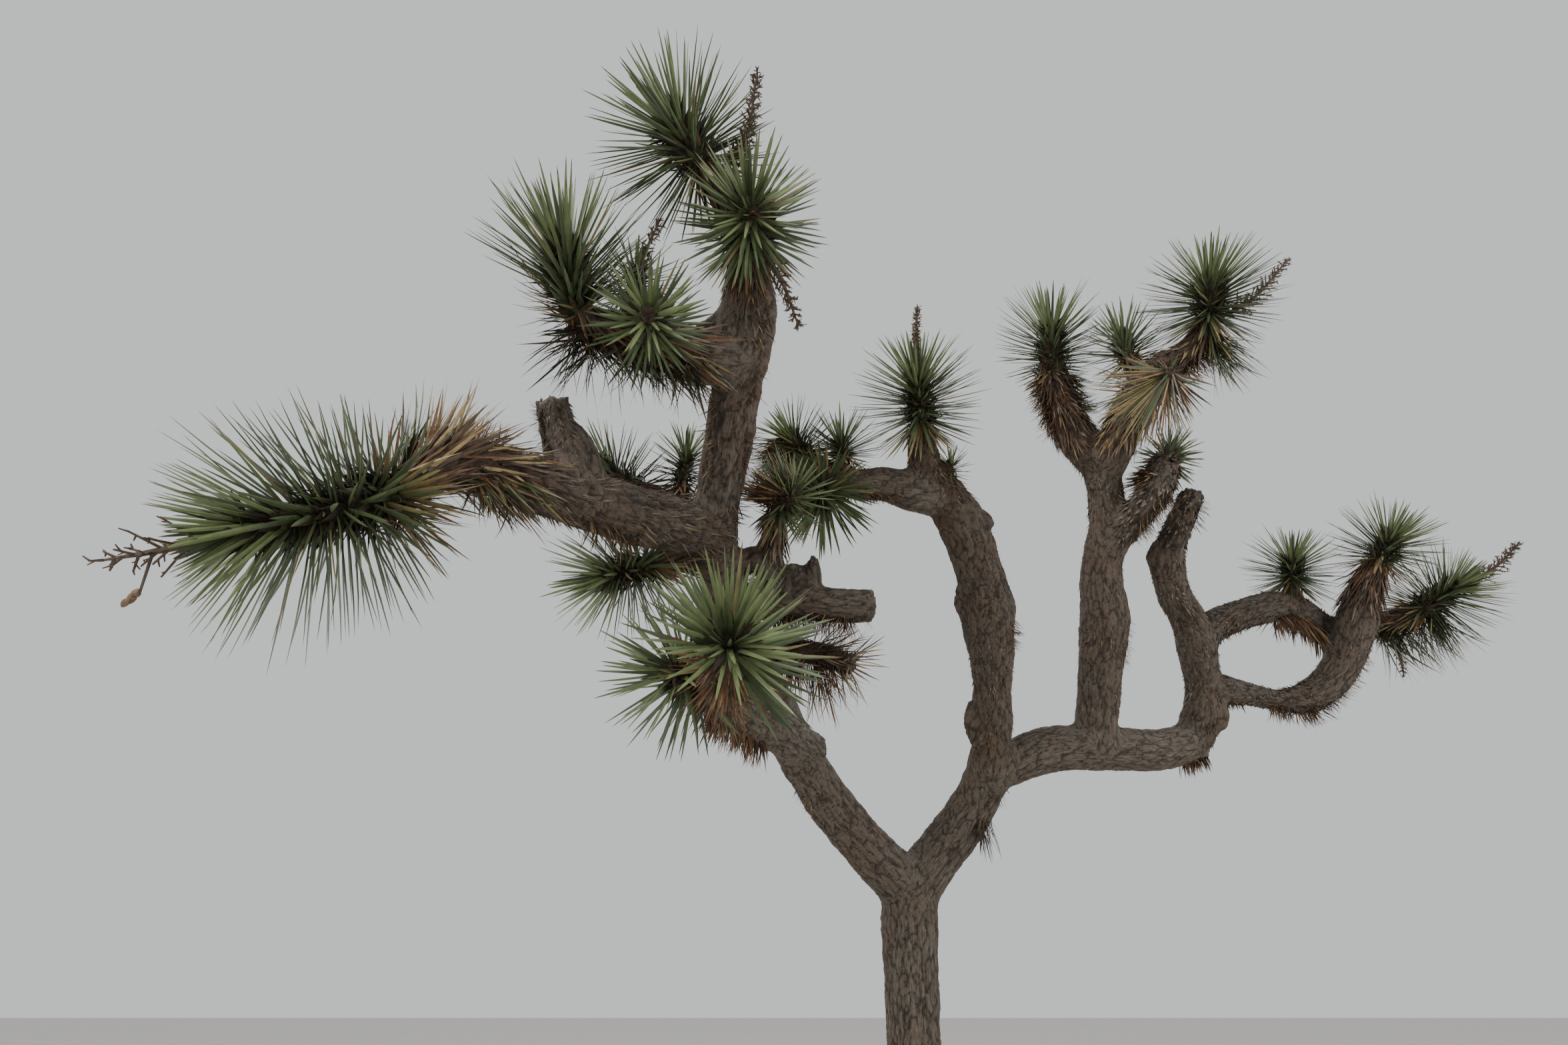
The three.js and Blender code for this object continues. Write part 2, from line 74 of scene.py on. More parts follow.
# Lines of growth: joints of x, y, z and half the girth in mm, and the pieces along them. They are the
# lines of the part's source with a lower fork, and with joints moved a little to fit the photograph.
LINES = {
    "trunk": (
        [(-8, -6, -120, 142), (8, 4, 420, 138), (44, 26, 1130, 134), (75, 44, 1790, 146),
         (82, 8, 1962, 112)],
        [("trunk", 4)]),
    "left": (
        [(70, 28, 1832, 138), (-291, -287, 2132, 115), (-481, -491, 2368, 114), (-682, -879, 2644, 110),
         (-821, -1306, 2874, 104), (-873, -1588, 3056, 100), (-798, -1940, 3360, 98),
         (-730, -2240, 3650, 102), (-716, -2440, 3850, 84), (-700, -2685, 3795, 40)],
        [("left_bough", 2), ("long_bough", 5), ("high_bough", 8), ("high_rosette", 9)]),
    "crown": (
        [(-722, -2400, 3800, 70), (-775, -2505, 3960, 66), (-870, -2610, 4045, 52),
         (-1001, -2720, 4189, 38)],
        [("crown_bough", 2), ("crown_rosette", 3)]),
    "upper_left": (
        [(-742, -2140, 3540, 108), (-950, -2260, 3467, 110), (-1155, -2380, 3436, 95),
         (-1310, -2465, 3462, 66), (-1350, -2646, 3609, 37)],
        [("upper_left_bough", 3), ("upper_left_rosette", 4)]),
    "upper_left_front": (
        [(-1050, -2320, 3450, 50), (-1055, -2450, 3405, 48), (-1022, -2650, 3279, 32)],
        [("upper_left_front_rosette", 2)]),
    "upper_left_top": (
        [(-1140, -2375, 3440, 42), (-1147, -2400, 3610, 34), (-1120, -2482, 3690, 30)],
        [("upper_left_top_rosette", 2)]),
    "low_left": (
        [(-850, -1610, 3050, 104), (-1140, -1885, 2968, 115), (-1356, -2138, 2907, 110),
         (-1580, -2505, 2781, 86), (-1709, -2640, 2574, 50), (-1985, -2803, 2363, 25)],
        [("low_left_bough", 3), ("low_left_rosette", 5)]),
    "snapped": (
        [(-1323, -2100, 2915, 92), (-1426, -2267, 3225, 63)],
        [("snapped_stub", 1)]),
    "inner_left": (
        [(-852, -1600, 3070, 80), (-1000, -1580, 3163, 84), (-1223, -1550, 3284, 62),
         (-1420, -1590, 3440, 35)],
        [("inner_left_bough", 2), ("inner_left_rosette", 3)]),
    "inner_left_small": (
        [(-1055, -1572, 3195, 42), (-1029, -1580, 3372, 36), (-1009, -1653, 3464, 30)],
        [("inner_left_small_rosette", 2)]),
    "small_left": (
        [(-835, -1505, 3000, 66), (-1122, -1610, 2897, 50), (-1315, -1699, 2791, 32)],
        [("small_left_bough", 1), ("small_left_rosette", 2)]),
    "near": (
        [(-450, -520, 2410, 104), (-715, -1090, 2408, 94), (-833, -1639, 2355, 84),
         (-775, -1870, 2358, 56), (-750, -2280, 2300, 35)],
        [("near_bough", 3), ("near_rosette", 4)]),
    "near_side": (
        [(-830, -1640, 2355, 50), (-985, -1900, 2345, 35)],
        [("near_side_rosette", 1)]),
    "sawn": (
        [(-760, -1290, 2872, 82), (-210, -1477, 2770, 67)],
        [("sawn_stub", 1)]),
    "drooping": (
        [(-715, -1060, 2745, 74), (-470, -1240, 2660, 66), (-290, -1345, 2560, 46)],
        [("drooping_bough", 1), ("dead_rosette", 2)]),
    "upright": (
        [(-640, -1330, 2850, 56), (-612, -1584, 3148, 56), (-525, -1770, 3166, 35)],
        [("upright_bough", 1), ("upright_rosette", 2)]),
    "right": (
        [(88, 30, 1832, 140), (380, -76, 2151, 122), (509, -196, 2368, 118), (508, -532, 2742, 101),
         (463, -796, 3060, 148), (398, -991, 3256, 108), (295, -1165, 3422, 109), (117, -1324, 3590, 88),
         (86, -1462, 3730, 56), (49, -1654, 3899, 38)],
        [("right_bough", 2), ("middle_bough", 4), ("middle_bough_upper", 8), ("middle_rosette", 9)]),
    "middle_side": (
        [(255, -1178, 3441, 36), (236, -1305, 3539, 29), (228, -1382, 3597, 23)],
        [("middle_side_rosette", 2)]),
    "arch": (
        [(165, -1255, 3505, 80), (-82, -1318, 3485, 80), (-308, -1394, 3457, 74),
         (-454, -1390, 3585, 50), (-567, -1446, 3702, 35)],
        [("arch_bough", 3), ("arch_end_rosette", 4)]),
    "arch_top": (
        [(-290, -1390, 3460, 36), (-300, -1420, 3570, 32), (-308, -1455, 3650, 24)],
        [("arch_top_rosette", 2)]),
    "arch_low": (
        [(-320, -1395, 3460, 44), (-385, -1475, 3365, 42), (-431, -1540, 3262, 32)],
        [("arch_low_rosette", 2)]),
    "arm": (
        [(470, -175, 2345, 104), (808, -207, 2486, 119), (1153, -168, 2518, 124), (1540, -45, 2539, 113),
         (1800, 22, 2610, 114)],
        [("long_arm", 4)]),
    "broken": (
        [(1765, 8, 2605, 112), (1831, -90, 2781, 108), (1812, -203, 2972, 104), (1722, -376, 3166, 102),
         (1601, -515, 3304, 90), (1566, -625, 3450, 95), (1684, -823, 3740, 70)],
        [("broken_bough", 4), ("broken_bough_top", 6)]),
    "tall": (
        [(1124, -180, 2530, 110), (1178, -346, 2919, 121), (1197, -478, 3142, 133),
         (1195, -582, 3379, 113), (1231, -697, 3614, 105), (1201, -849, 3872, 98),
         (1029, -977, 4088, 123), (924, -1134, 4335, 96), (910, -1301, 4578, 45)],
        [("tall_bough", 3), ("tall_bough_upper", 5), ("tall_left_fork", 7), ("tall_left_rosette", 8)]),
    "tall_right": (
        [(1205, -835, 3850, 94), (1269, -1149, 4014, 118), (1350, -1350, 4140, 96),
         (1526, -1417, 4244, 76), (1623, -1479, 4349, 62), (1621, -1650, 4540, 40)],
        [("tall_right_fork", 2), ("tall_right_bough", 4), ("tall_right_rosette", 5)]),
    "tall_middle": (
        [(1325, -1300, 4130, 44), (1262, -1325, 4280, 44), (1256, -1345, 4470, 35)],
        [("tall_middle_rosette", 2)]),
    "tan": (
        [(1285, -1180, 4020, 62), (1266, -1500, 3950, 58), (1130, -1850, 3740, 20)],
        [("tan_rosette", 2)]),
    "knobbed": (
        [(1218, -640, 3490, 82), (1415, -914, 3684, 101), (1553, -866, 3901, 86),
         (1711, -741, 4125, 39)],
        [("knobbed_bough", 2), ("knobbed_rosette", 3)]),
    "far": (
        [(1785, -285, 3065, 94), (1905, -263, 3186, 91), (2120, -258, 3275, 93), (2433, -195, 3352, 95),
         (2818, 55, 3300, 97), (3141, 105, 3354, 83), (3374, 5, 3406, 66), (3575, -180, 3525, 38)],
        [("far_bough", 3), ("far_bough_tip", 6), ("far_tip_rosette", 7)]),
    "far_side": (
        [(2438, -195, 3355, 52), (2474, -225, 3450, 48), (2480, -330, 3612, 33)],
        [("far_side_rosette", 2)]),
    "loop": (
        [(1830, -138, 2878, 92), (1969, -76, 2879, 92), (2140, -33, 2864, 68), (2313, -11, 2837, 64),
         (2506, -18, 2855, 98), (2698, -73, 3003, 102), (2807, -193, 3236, 114), (2877, -273, 3420, 103),
         (2973, -340, 3577, 64), (3032, -453, 3692, 36)],
        [("loop_bough", 4), ("loop_bough_upper", 8), ("loop_rosette", 9)]),
}

# Cut pegs and burls, which stand out of the limbs, and fillings that round off their forks
KNOTS = (
    [(-462, -1392, 2815, 46), (-448, -1480, 2985, 40), (-444, -1496, 3016, 30)],
    [(-530, -1376, 2840, 44), (-532, -1446, 2972, 43), (-532, -1458, 2992, 26)],
    [(-620, -1345, 2848, 84), (-400, -1420, 2808, 79), (-214, -1476, 2773, 73)],
    [(-240, -1466, 2751, 46), (-212, -1474, 2751, 40), (-196, -1478, 2751, 22)],
    [(-1420, -2257, 3195, 62), (-1427, -2268, 3222, 52), (-1431, -2274, 3234, 36)],
    [(440, -370, 2470, 44), (418, -405, 2580, 66), (436, -440, 2690, 40)],
    [(378, -770, 2980, 36), (352, -817, 3088, 62), (352, -862, 3190, 36)],
    [(425, -850, 3120, 104), (368, -991, 3250, 106), (258, -1164, 3400, 107), (150, -1290, 3500, 82)],
    [(160, -1239, 3450, 88), (50, -1276, 3454, 88), (-66, -1309, 3471, 78)],
    [(150, -1262, 3508, 86), (-82, -1318, 3487, 90), (-260, -1380, 3462, 78)],
    [(-921, -2235, 3583, 47), (-837, -2232, 3618, 65), (-774, -2259, 3684, 53)],
    [(-1351, -2205, 3159, 34), (-1327, -2176, 3109, 46), (-1295, -2139, 3046, 54),
     (-1273, -2098, 2997, 49)],
    [(-768, -1447, 3015, 58), (-691, -1444, 3009, 72), (-612, -1441, 3004, 56)],
    [(-738, -2100, 3510, 96), (-702, -2240, 3650, 98), (-692, -2370, 3780, 84)],
    [(1682, -818, 3730, 68), (1684, -828, 3762, 58), (1685, -833, 3774, 42)],
    [(1512, -600, 3360, 44), (1508, -633, 3445, 72), (1524, -670, 3530, 44)],
    [(375, -1100, 3330, 40), (390, -1122, 3390, 84), (380, -1150, 3450, 40)],
    [(1850, -80, 2650, 60), (1872, -70, 2735, 100), (1852, -95, 2850, 60)],
    [(-200, -200, 2075, 92), (-54, -18, 1932, 100), (26, 56, 1777, 100), (30, 42, 1600, 96)],
    [(360, -60, 2120, 96), (236, 23, 1957, 107), (125, 62, 1774, 104), (96, 42, 1600, 96)],
)

# Living rosettes: leaf length in mm and how many. Bare is the share of the shoot that bears none. Bud and
# reflexed are how far from the shoot's own way the youngest and the oldest leaves point, in degrees.
# Young and old are how long those are against the rest, and sag is how much longer the hanging ones are.
# On the dying side the leaves have withered, shrunk and curled.
ROSETTES = {
    "high_rosette": dict(leaf=268, leaves=200, reflexed=126),
    "crown_rosette": dict(leaf=362, leaves=215, bare=0.14, reflexed=127, sag=0.1),
    "upper_left_rosette": dict(leaf=366, leaves=190, reflexed=84, old=0.6, sag=0.07,
                               dying=(-0.8, 0.3, -0.6)),
    "upper_left_front_rosette": dict(leaf=235, leaves=120, bare=0.3, reflexed=108),
    "upper_left_top_rosette": dict(leaf=190, leaves=75, bare=0.45),
    "low_left_rosette": dict(leaf=345, leaves=330, bare=0.42, bud=16, reflexed=118, young=0.3, old=0.6,
                             sag=0.1),
    "inner_left_rosette": dict(leaf=235, leaves=130),
    "inner_left_small_rosette": dict(leaf=185, leaves=110, bare=0.25, reflexed=130),
    "small_left_rosette": dict(leaf=285, leaves=180, reflexed=126),
    "near_rosette": dict(leaf=345, leaves=225, reflexed=116, old=0.62, dying=(-0.62, 0.1, -0.8)),
    "near_side_rosette": dict(leaf=290, leaves=130, bare=0.35),
    "upright_rosette": dict(leaf=190, leaves=105, reflexed=104, dying=(-0.8, -0.5, 0.25)),
    "middle_rosette": dict(leaf=318, leaves=215, reflexed=128),
    "middle_side_rosette": dict(leaf=110, leaves=45, bare=0.5),
    "arch_end_rosette": dict(leaf=225, leaves=140, reflexed=125),
    "arch_top_rosette": dict(leaf=215, leaves=105, bare=0.5, reflexed=110),
    "arch_low_rosette": dict(leaf=262, leaves=150, bare=0.4, reflexed=112, sag=0.1),
    "tall_left_rosette": dict(leaf=270, leaves=225, reflexed=116, old=0.48, sag=-0.42),
    "tall_middle_rosette": dict(leaf=232, leaves=115, bare=0.4, reflexed=98, old=0.6),
    "tall_right_rosette": dict(leaf=345, leaves=260, bare=0.22, reflexed=128, old=0.7),
    "knobbed_rosette": dict(leaf=165, leaves=95),
    "far_side_rosette": dict(leaf=285, leaves=165, bare=0.62, reflexed=130),
    "far_tip_rosette": dict(leaf=332, leaves=225, reflexed=128, young=0.42, old=0.78),
    "loop_rosette": dict(leaf=298, leaves=170, reflexed=116, sag=-0.12),
}

# Withered ones: which way their leaves hang, how strictly, and how much they have curled
WITHERED = {
    "tan_rosette": dict(leaf=395, leaves=150, bare=0.3, lean=(-1.0, 0.0, -0.95), strict=0.42, curl=0.02,
                        pale=True),
    "dead_rosette": dict(leaf=185, leaves=150, bare=0.0, lean=(0.5, 0.0, -0.2), strict=-0.3, curl=0.3,
                         pale=False),
}

# The tones of leaves, in the order of their materials
(FRESH, GREEN, OLIVE, AGEING, SPINE, STRAW, RUST, BROWN, GREY, DARK) = range(10)
DEAD_TONES = (RUST, BROWN, DARK, GREY, STRAW)

# What leaves leave behind on a limb: width in mm, how many times over they cover it, how far they lift
# off the limb in degrees, how much they sway to the sides and hang, and the share of each dead tone
COVERS = {
    "fibre": dict(width=6, coverage=0.06, lift=(4, 34), sway=0.4, hang=0.0,
                  tones=(0.15, 0.25, 0.25, 0.32, 0.03)),
    "fringe": dict(width=9, coverage=0.5, lift=(4, 28), sway=0.3, hang=0.3,
                   tones=(0.3, 0.3, 0.25, 0.12, 0.03)),
    "shag": dict(width=8, coverage=1.7, lift=(8, 30), sway=0.26, hang=0.1,
                 tones=(0.2, 0.3, 0.3, 0.18, 0.02)),
    "scales": dict(width=14, coverage=1.4, lift=(12, 42), sway=0.2, hang=0.0,
                   tones=(0.08, 0.24, 0.26, 0.38, 0.04)),
    "thatch": dict(width=10.5, coverage=2.7, lift=(4, 26), sway=0.2, hang=0.3,
                   tones=(0.36, 0.26, 0.18, 0.1, 0.1)),
    "collar": dict(width=9.5, coverage=2.2, lift=(25, 80), sway=0.3, hang=0.2,
                   tones=(0.3, 0.28, 0.3, 0.08, 0.04)),
}

# How far out the bark lies under each cover, against the limb's girth
SKIN_DEPTHS = {"fibre": 1.0, "fringe": 1.0, "shag": 0.98, "scales": 0.93, "thatch": 0.84, "collar": 0.84,
               "shoot": 0.84}

# The covers of each limb: from which share of its length to which, and the length of the leaves in mm
LIMB_COVERS = {
    "trunk": (("fibre", 0.12, 1.0, 28),),
    "left_bough": (("fibre", 0.15, 1.0, 30),),
    "long_bough": (("fibre", 0.0, 1.0, 30),),
    "high_bough": (("fringe", 0.0, 0.8, 78), ("thatch", 0.78, 1.0, 110)),
    "crown_bough": (("thatch", 0.35, 1.0, 130),),
    "upper_left_bough": (("thatch", 0.3, 1.0, 190),),
    "low_left_bough": (("shag", 0.05, 0.85, 80), ("thatch", 0.79, 1.0, 185)),
    "snapped_stub": (("shag", 0.25, 0.97, 40),),
    "inner_left_bough": (("thatch", 0.45, 1.0, 110),),
    "small_left_bough": (("thatch", 0.45, 1.0, 120),),
    "near_bough": (("fibre", 0.1, 0.4, 30), ("fringe", 0.35, 0.65, 80), ("thatch", 0.6, 1.0, 170)),
    "sawn_stub": (("fibre", 0.2, 1.0, 26),),
    "drooping_bough": (("thatch", 0.3, 1.0, 150),),
    "upright_bough": (("fringe", 0.25, 0.7, 80), ("thatch", 0.6, 1.0, 120)),
    "right_bough": (("fibre", 0.15, 1.0, 30),),
    "middle_bough": (("shag", 0.1, 1.0, 44),),
    "middle_bough_upper": (("shag", 0.0, 1.0, 48),),
    "arch_bough": (("shag", 0.2, 0.75, 42), ("thatch", 0.75, 1.0, 110)),
    "long_arm": (("fibre", 0.15, 1.0, 28),),
    "tall_bough": (("shag", 0.15, 1.0, 50),),
    "tall_bough_upper": (("shag", 0.0, 1.0, 54),),
    "tall_left_fork": (("shag", 0.0, 0.45, 70), ("thatch", 0.4, 1.0, 115), ("collar", 0.62, 1.0, 105)),
    "tall_right_fork": (("thatch", 0.3, 1.0, 110),),
    "tall_right_bough": (("thatch", 0.0, 1.0, 120),),
    "knobbed_bough": (("scales", 0.1, 1.0, 48),),
    "broken_bough": (("shag", 0.02, 1.0, 46),),
    "broken_bough_top": (("scales", 0.0, 1.0, 38),),
    "far_bough": (("shag", 0.1, 1.0, 46),),
    "far_bough_tip": (("shag", 0.0, 0.75, 50), ("thatch", 0.75, 1.0, 150)),
    "loop_bough": (("shag", 0.05, 1.0, 38),),
    "loop_bough_upper": (("shag", 0.0, 0.68, 48), ("thatch", 0.62, 1.0, 150)),
}
SHOOT_THATCH_MM = 230  # the longest dead leaves on a shoot's own stem
FOLDED_ROOT = 0.84  # where folded leaves are rooted, against the limb's girth

# Tufts where leaf remains have gathered, by their limb: from which share of its length to which, which
# way they point, how many, their length in mm and their tones
TUFTS = {
    "long_arm": [(0.84, 1.0, (0.1, 0, -1), 170, 80, "rusty")],
    "right_bough": [(0.56, 0.68, (0.08, -0.1, -1), 44, 190, "dark"),
                    (0.88, 0.97, (0.1, -0.1, -1), 24, 80, "dark")],
    "left_bough": [(0.6, 0.92, (-0.5, -0.1, -1), 70, 48, "rusty")],
    "middle_bough": [(0.76, 0.94, (0.9, -0.1, -0.7), 60, 75, "rusty")],
    "near_bough": [(0.25, 0.65, (-0.1, 0, -1), 190, 125, "rusty")],
    "near_rosette": [(0.1, 0.2, (-0.4, -0.2, -1), 80, 150, "rusty"),
                     (0.67, 0.77, (-0.5, -0.4, -0.9), 44, 120, "rusty")],
    "high_bough": [(0.42, 0.85, (0.55, -0.1, -0.8), 200, 72, "rusty"),
                   (0.22, 0.55, (-0.7, -0.1, -0.6), 110, 80, "rusty"),
                   (0.06, 0.34, (1, -0.3, -0.5), 150, 80, "rusty")],
    "upper_left_bough": [(0.8, 1.0, (-0.42, -0.1, -1), 90, 270, "dark"),
                         (0.3, 0.8, (0.15, -0.2, -1), 90, 300, "dark")],
    "low_left_bough": [(0.35, 0.6, (0.1, -0.2, -1), 80, 120, "rusty"),
                       (0.88, 1.0, (0.1, 0, 1), 50, 105, "straw"),
                       (0.8, 1.0, (0.6, -0.1, -0.7), 60, 200, "olive"),
                       (0.88, 1.0, (0.4, -0.1, -1), 60, 150, "rusty")],
    "low_left_rosette": [(0.02, 0.28, (0.35, 0, 1), 80, 222, "straw"),
                         (0.25, 0.4, (0.05, 0, 1), 60, 240, "olive")],
    "snapped_stub": [(0.9, 1.0, (-1, -0.3, 0.2), 12, 40, "rusty"),
                     (0.35, 0.95, (-0.6, -0.5, -0.9), 60, 60, "rusty")],
    "sawn_stub": [(0.93, 1.0, (0.2, -0.3, -1), 7, 70, "rusty"),
                  (0.28, 0.88, (0, -0.25, -1), 330, 125, "rusty")],
    "upright_bough": [(0.05, 0.45, (-1, -0.3, -0.5), 90, 110, "rusty")],
    "upright_rosette": [(0.15, 0.7, (-1, 0, 0.55), 170, 180, "rusty"),
                        (0.2, 1.0, (-0.45, -0.1, 1), 130, 190, "olive")],
    "drooping_bough": [(0.2, 1.0, (0.1, -0.1, -1), 150, 170, "rusty")],
    "dead_rosette": [(0.0, 0.7, (0.15, -0.2, -1), 60, 270, "rusty")],
    "arch_end_rosette": [(0.2, 0.5, (-1, -0.2, -0.3), 110, 235, "rusty"),
                         (0.5, 0.95, (-0.85, -0.1, -0.75), 130, 200, "rusty"),
                         (0.0, 0.6, (-0.75, -0.1, -0.6), 150, 240, "olive")],
    "arch_low_rosette": [(0.0, 0.8, (-0.6, -0.2, 0.3), 120, 200, "olive")],
    "arch_bough": [(0.02, 0.6, (0.1, -0.1, -1), 190, 52, "rusty"),
                   (0.3, 0.75, (0.8, -0.1, -0.7), 44, 66, "rusty")],
    "loop_bough": [(0.25, 0.45, (0, -0.1, -1), 40, 60, "rusty"),
                   (0.68, 0.84, (-0.3, -0.1, -1), 90, 95, "rusty"),
                   (0.86, 0.98, (0.1, -0.1, -1), 100, 100, "rusty"),
                   (0.94, 1.0, (1, -0.1, -0.6), 12, 110, "dark")],
    "loop_bough_upper": [(0.02, 0.14, (0.5, -0.1, -0.9), 50, 68, "rusty"),
                         (0.14, 0.34, (0.8, -0.1, -0.6), 90, 60, "rusty")],
    "far_bough": [(0.35, 0.6, (0, -0.1, -1), 40, 50, "rusty"),
                  (0.85, 1.0, (0.1, -0.1, -1), 110, 135, "rusty")],
    "far_bough_tip": [(0.0, 0.3, (0, -0.1, -1), 150, 155, "rusty"),
                      (0.5, 0.8, (-0.45, -0.1, -1), 40, 190, "olive"),
                      (0.66, 1.0, (0.1, -0.1, -1), 100, 330, "olive")],
    "far_tip_rosette": [(0.05, 0.3, (0.1, -0.1, -1), 80, 360, "olive")],
    "tall_left_fork": [(0.55, 1.0, (-0.9, -0.1, -0.6), 130, 120, "rusty"),
                       (0.6, 1.0, (0.9, -0.1, -0.5), 150, 130, "olive")],
    "tall_right_bough": [(0.8, 1.0, (0.3, -0.1, -1), 120, 310, "olive"),
                         (0.7, 0.96, (0.05, -0.1, -1), 60, 320, "olive"),
                         (0.3, 0.8, (0.3, -0.1, -1), 120, 130, "rusty")],
    "tan_rosette": [(0.8, 1.0, (0.85, -0.1, -1.1), 11, 225, "dark")],
    "tall_bough": [(0.38, 0.68, (0.8, -0.1, -0.8), 80, 68, "rusty")],
    "knobbed_bough": [(0.18, 0.32, (0.5, -0.2, -1), 40, 80, "rusty"),
                      (0.25, 0.55, (0.1, -0.3, -1), 120, 115, "rusty"),
                      (0.5, 0.85, (-1, -0.2, -0.35), 130, 125, "rusty")],
    "broken_bough_top": [(0.8, 1.0, (0.5, -0.3, -0.8), 34, 80, "rusty")],
}
TUFT_TONES = {"rusty": (RUST, BROWN, DARK, RUST, BROWN, STRAW), "straw": (STRAW, RUST, STRAW, BROWN, RUST),
              "olive": (OLIVE, AGEING, OLIVE, BROWN, GREEN), "dark": (BROWN, DARK, OLIVE, DARK)}

# Torn wood at broken ends: how many splinters, and their length in mm
TORN_ENDS = {"snapped_stub": (16, 18), "broken_bough_top": (44, 26), "sawn_stub": (14, 14)}

# Dried flower stalks: their route in mm from inside the shoot, twig length in mm, and how many twigs
STALKS = {
    "high_stalk": dict(route=[(-720, -2511, 3835), (-600, -2467, 3662), (-525, -2355, 3511)], twig=62,
                       twigs=44),
    "crown_stalk": dict(route=[(-853, -2610, 4043), (-741, -2670, 4105), (-680, -2814, 4350)], twig=72,
                        twigs=84),
    "upper_left_stalk": dict(route=[(-1131, -2450, 3640), (-1116, -2486, 3676), (-1036, -2583, 3820)],
                             twig=58, twigs=46),
    "low_left_stalk": dict(route=[(-1945, -2780, 2390), (-2085, -2822, 2313), (-2198, -2850, 2268)],
                           twig=105, twigs=17, forks=3, hanging=115),
    "middle_stalk": dict(route=[(56, -1607, 3857), (46, -1735, 4035), (53, -1812, 4166)], twig=36,
                         twigs=46),
    "tall_right_stalk": dict(route=[(1632, -1504, 4372), (1838, -1590, 4452), (2030, -1690, 4636)], twig=92,
                             twigs=72, forks=4),
    "far_low_stalk": dict(route=[(3240, 50, 3330), (3247, 109, 3170), (3252, 160, 3035)], twig=40,
                          twigs=16),
    "far_tip_stalk": dict(route=[(3538, -165, 3499), (3754, -230, 3589), (3895, -313, 3710)], twig=88,
                          twigs=60),
}

STALK_GIRTHS = (14, 9, 3)  # half the stem's thickness in mm, at its foot, middle and tip
# Half the thickness of the twigs at each end, in metres
TWIG, FORK, HANGER = (0.0042, 0.0024), (0.0028, 0.0016), (0.0042, 0.003)

# The bark. Its plates and the slivers they split into have two widths and a length in metres, narrower
# and longer where they follow a limb than where limbs join. Reaches are in steps along the skin, rounds
# are times that it is evened.
PLATE, SLIVER = (0.030, 0.030, 0.14), (0.014, 0.014, 0.055)
JOIN_PLATE, JOIN_SLIVER = (0.034, 0.034, 0.10), (0.016, 0.016, 0.045)
CRACK_WIDTH = 0.2  # against a plate's
SLIVER_DEPTH = 0.28  # against a fissure's
JOIN_REACH, JOIN_ROUNDS = 9, 22
COVER_REACH, COVER_ROUNDS = 6, 8
OLD_BARK_HEIGHT = 1.6  # metres over which the extra depth of the old bark's fissures fades
LUMPS = ((6, 0.009, 1), (17, 0.005, 2))  # how many to the metre, how high in metres, and the noise's seed
TORN_LUMPS = ((45, 0.012, 5), (90, 0.006, 6))

# The foot of the trunk, as in the part's source: its spread and the height it fades over, and its
# buttresses with their share of the spread
FLARE, FLARE_HEIGHT, BUTTRESSES, BUTTRESS_SHARE = 0.105, 0.17, 5, 0.35

# The three parts of the crown, so that no piece grows too large
CROWN_PARTS = {
    "left": ("left", "crown", "upper_left", "upper_left_front", "upper_left_top", "low_left", "snapped",
             "inner_left", "inner_left_small", "small_left", "near", "near_side", "sawn", "drooping",
             "upright"),
    "middle": ("right", "middle_side", "arch", "arch_top", "arch_low"),
    "right": ("arm", "broken", "tall", "tall_right", "tall_middle", "tan", "knobbed", "far", "far_side",
              "loop"),
}

# The parts of the bark: the trunk by itself, and the crown's parts with the two largest halved
BARK_PARTS = {
    "trunk": ("trunk",),
    "left": CROWN_PARTS["left"][:7],
    "near": CROWN_PARTS["left"][7:],
    "middle": CROWN_PARTS["middle"],
    "right": CROWN_PARTS["right"][:7],
    "far": CROWN_PARTS["right"][7:],
}

# Colours that a user may change, each with what it is the colour of
COLOURS = {
    "fresh_leaf": ("#616c47", "Young leaves round the bud"),
    "green_leaf": ("#4b5838", "Leaves in their prime"),
    "olive_leaf": ("#3b452b", "Older living leaves"),
    "ageing_leaf": ("#6d6541", "Leaves about to die"),
    "leaf_spine": ("#4c3524", "The hard point of a leaf"),
    "straw_leaf": ("#7f6d4a", "Newly dead leaves"),
    "rust_leaf": ("#5f422c", "Dead leaves out of the weather"),
    "brown_leaf": ("#463729", "Older dead leaves"),
    "grey_leaf": ("#645c52", "Weathered leaf bases"),
    # The dark leaf colour is rot on dead leaves, and painted shade on the leaf bases in a shoot's core
    "dark_leaf": ("#2f261d", "Dead leaves that have begun to rot"),
    "bark_ridge": ("#5f574d", "The ridges of the bark"),
    "bark_stain": ("#554438", "Reddish patches where the bark has flaked"),
    # Painted shade: the colour that the bark's fissures are darkened towards
    "bark_crack": ("#241e18", "The bottom of the bark's fissures"),
    "stalk_wood": ("#4a3d31", "Dried flower stalks"),
    "seed_pod": ("#5d4a35", "Dried seed pods"),
}


def linear(hex_colour):
    """An sRGB hex colour as linear values."""
    values = [int(hex_colour[i:i + 2], 16) / 255 for i in (1, 3, 5)]
    return tuple(v / 12.92 if v <= 0.04045 else ((v + 0.055) / 1.055) ** 2.4 for v in values)


def unit(vectors):
    return vectors / np.linalg.norm(vectors, axis=-1, keepdims=True)


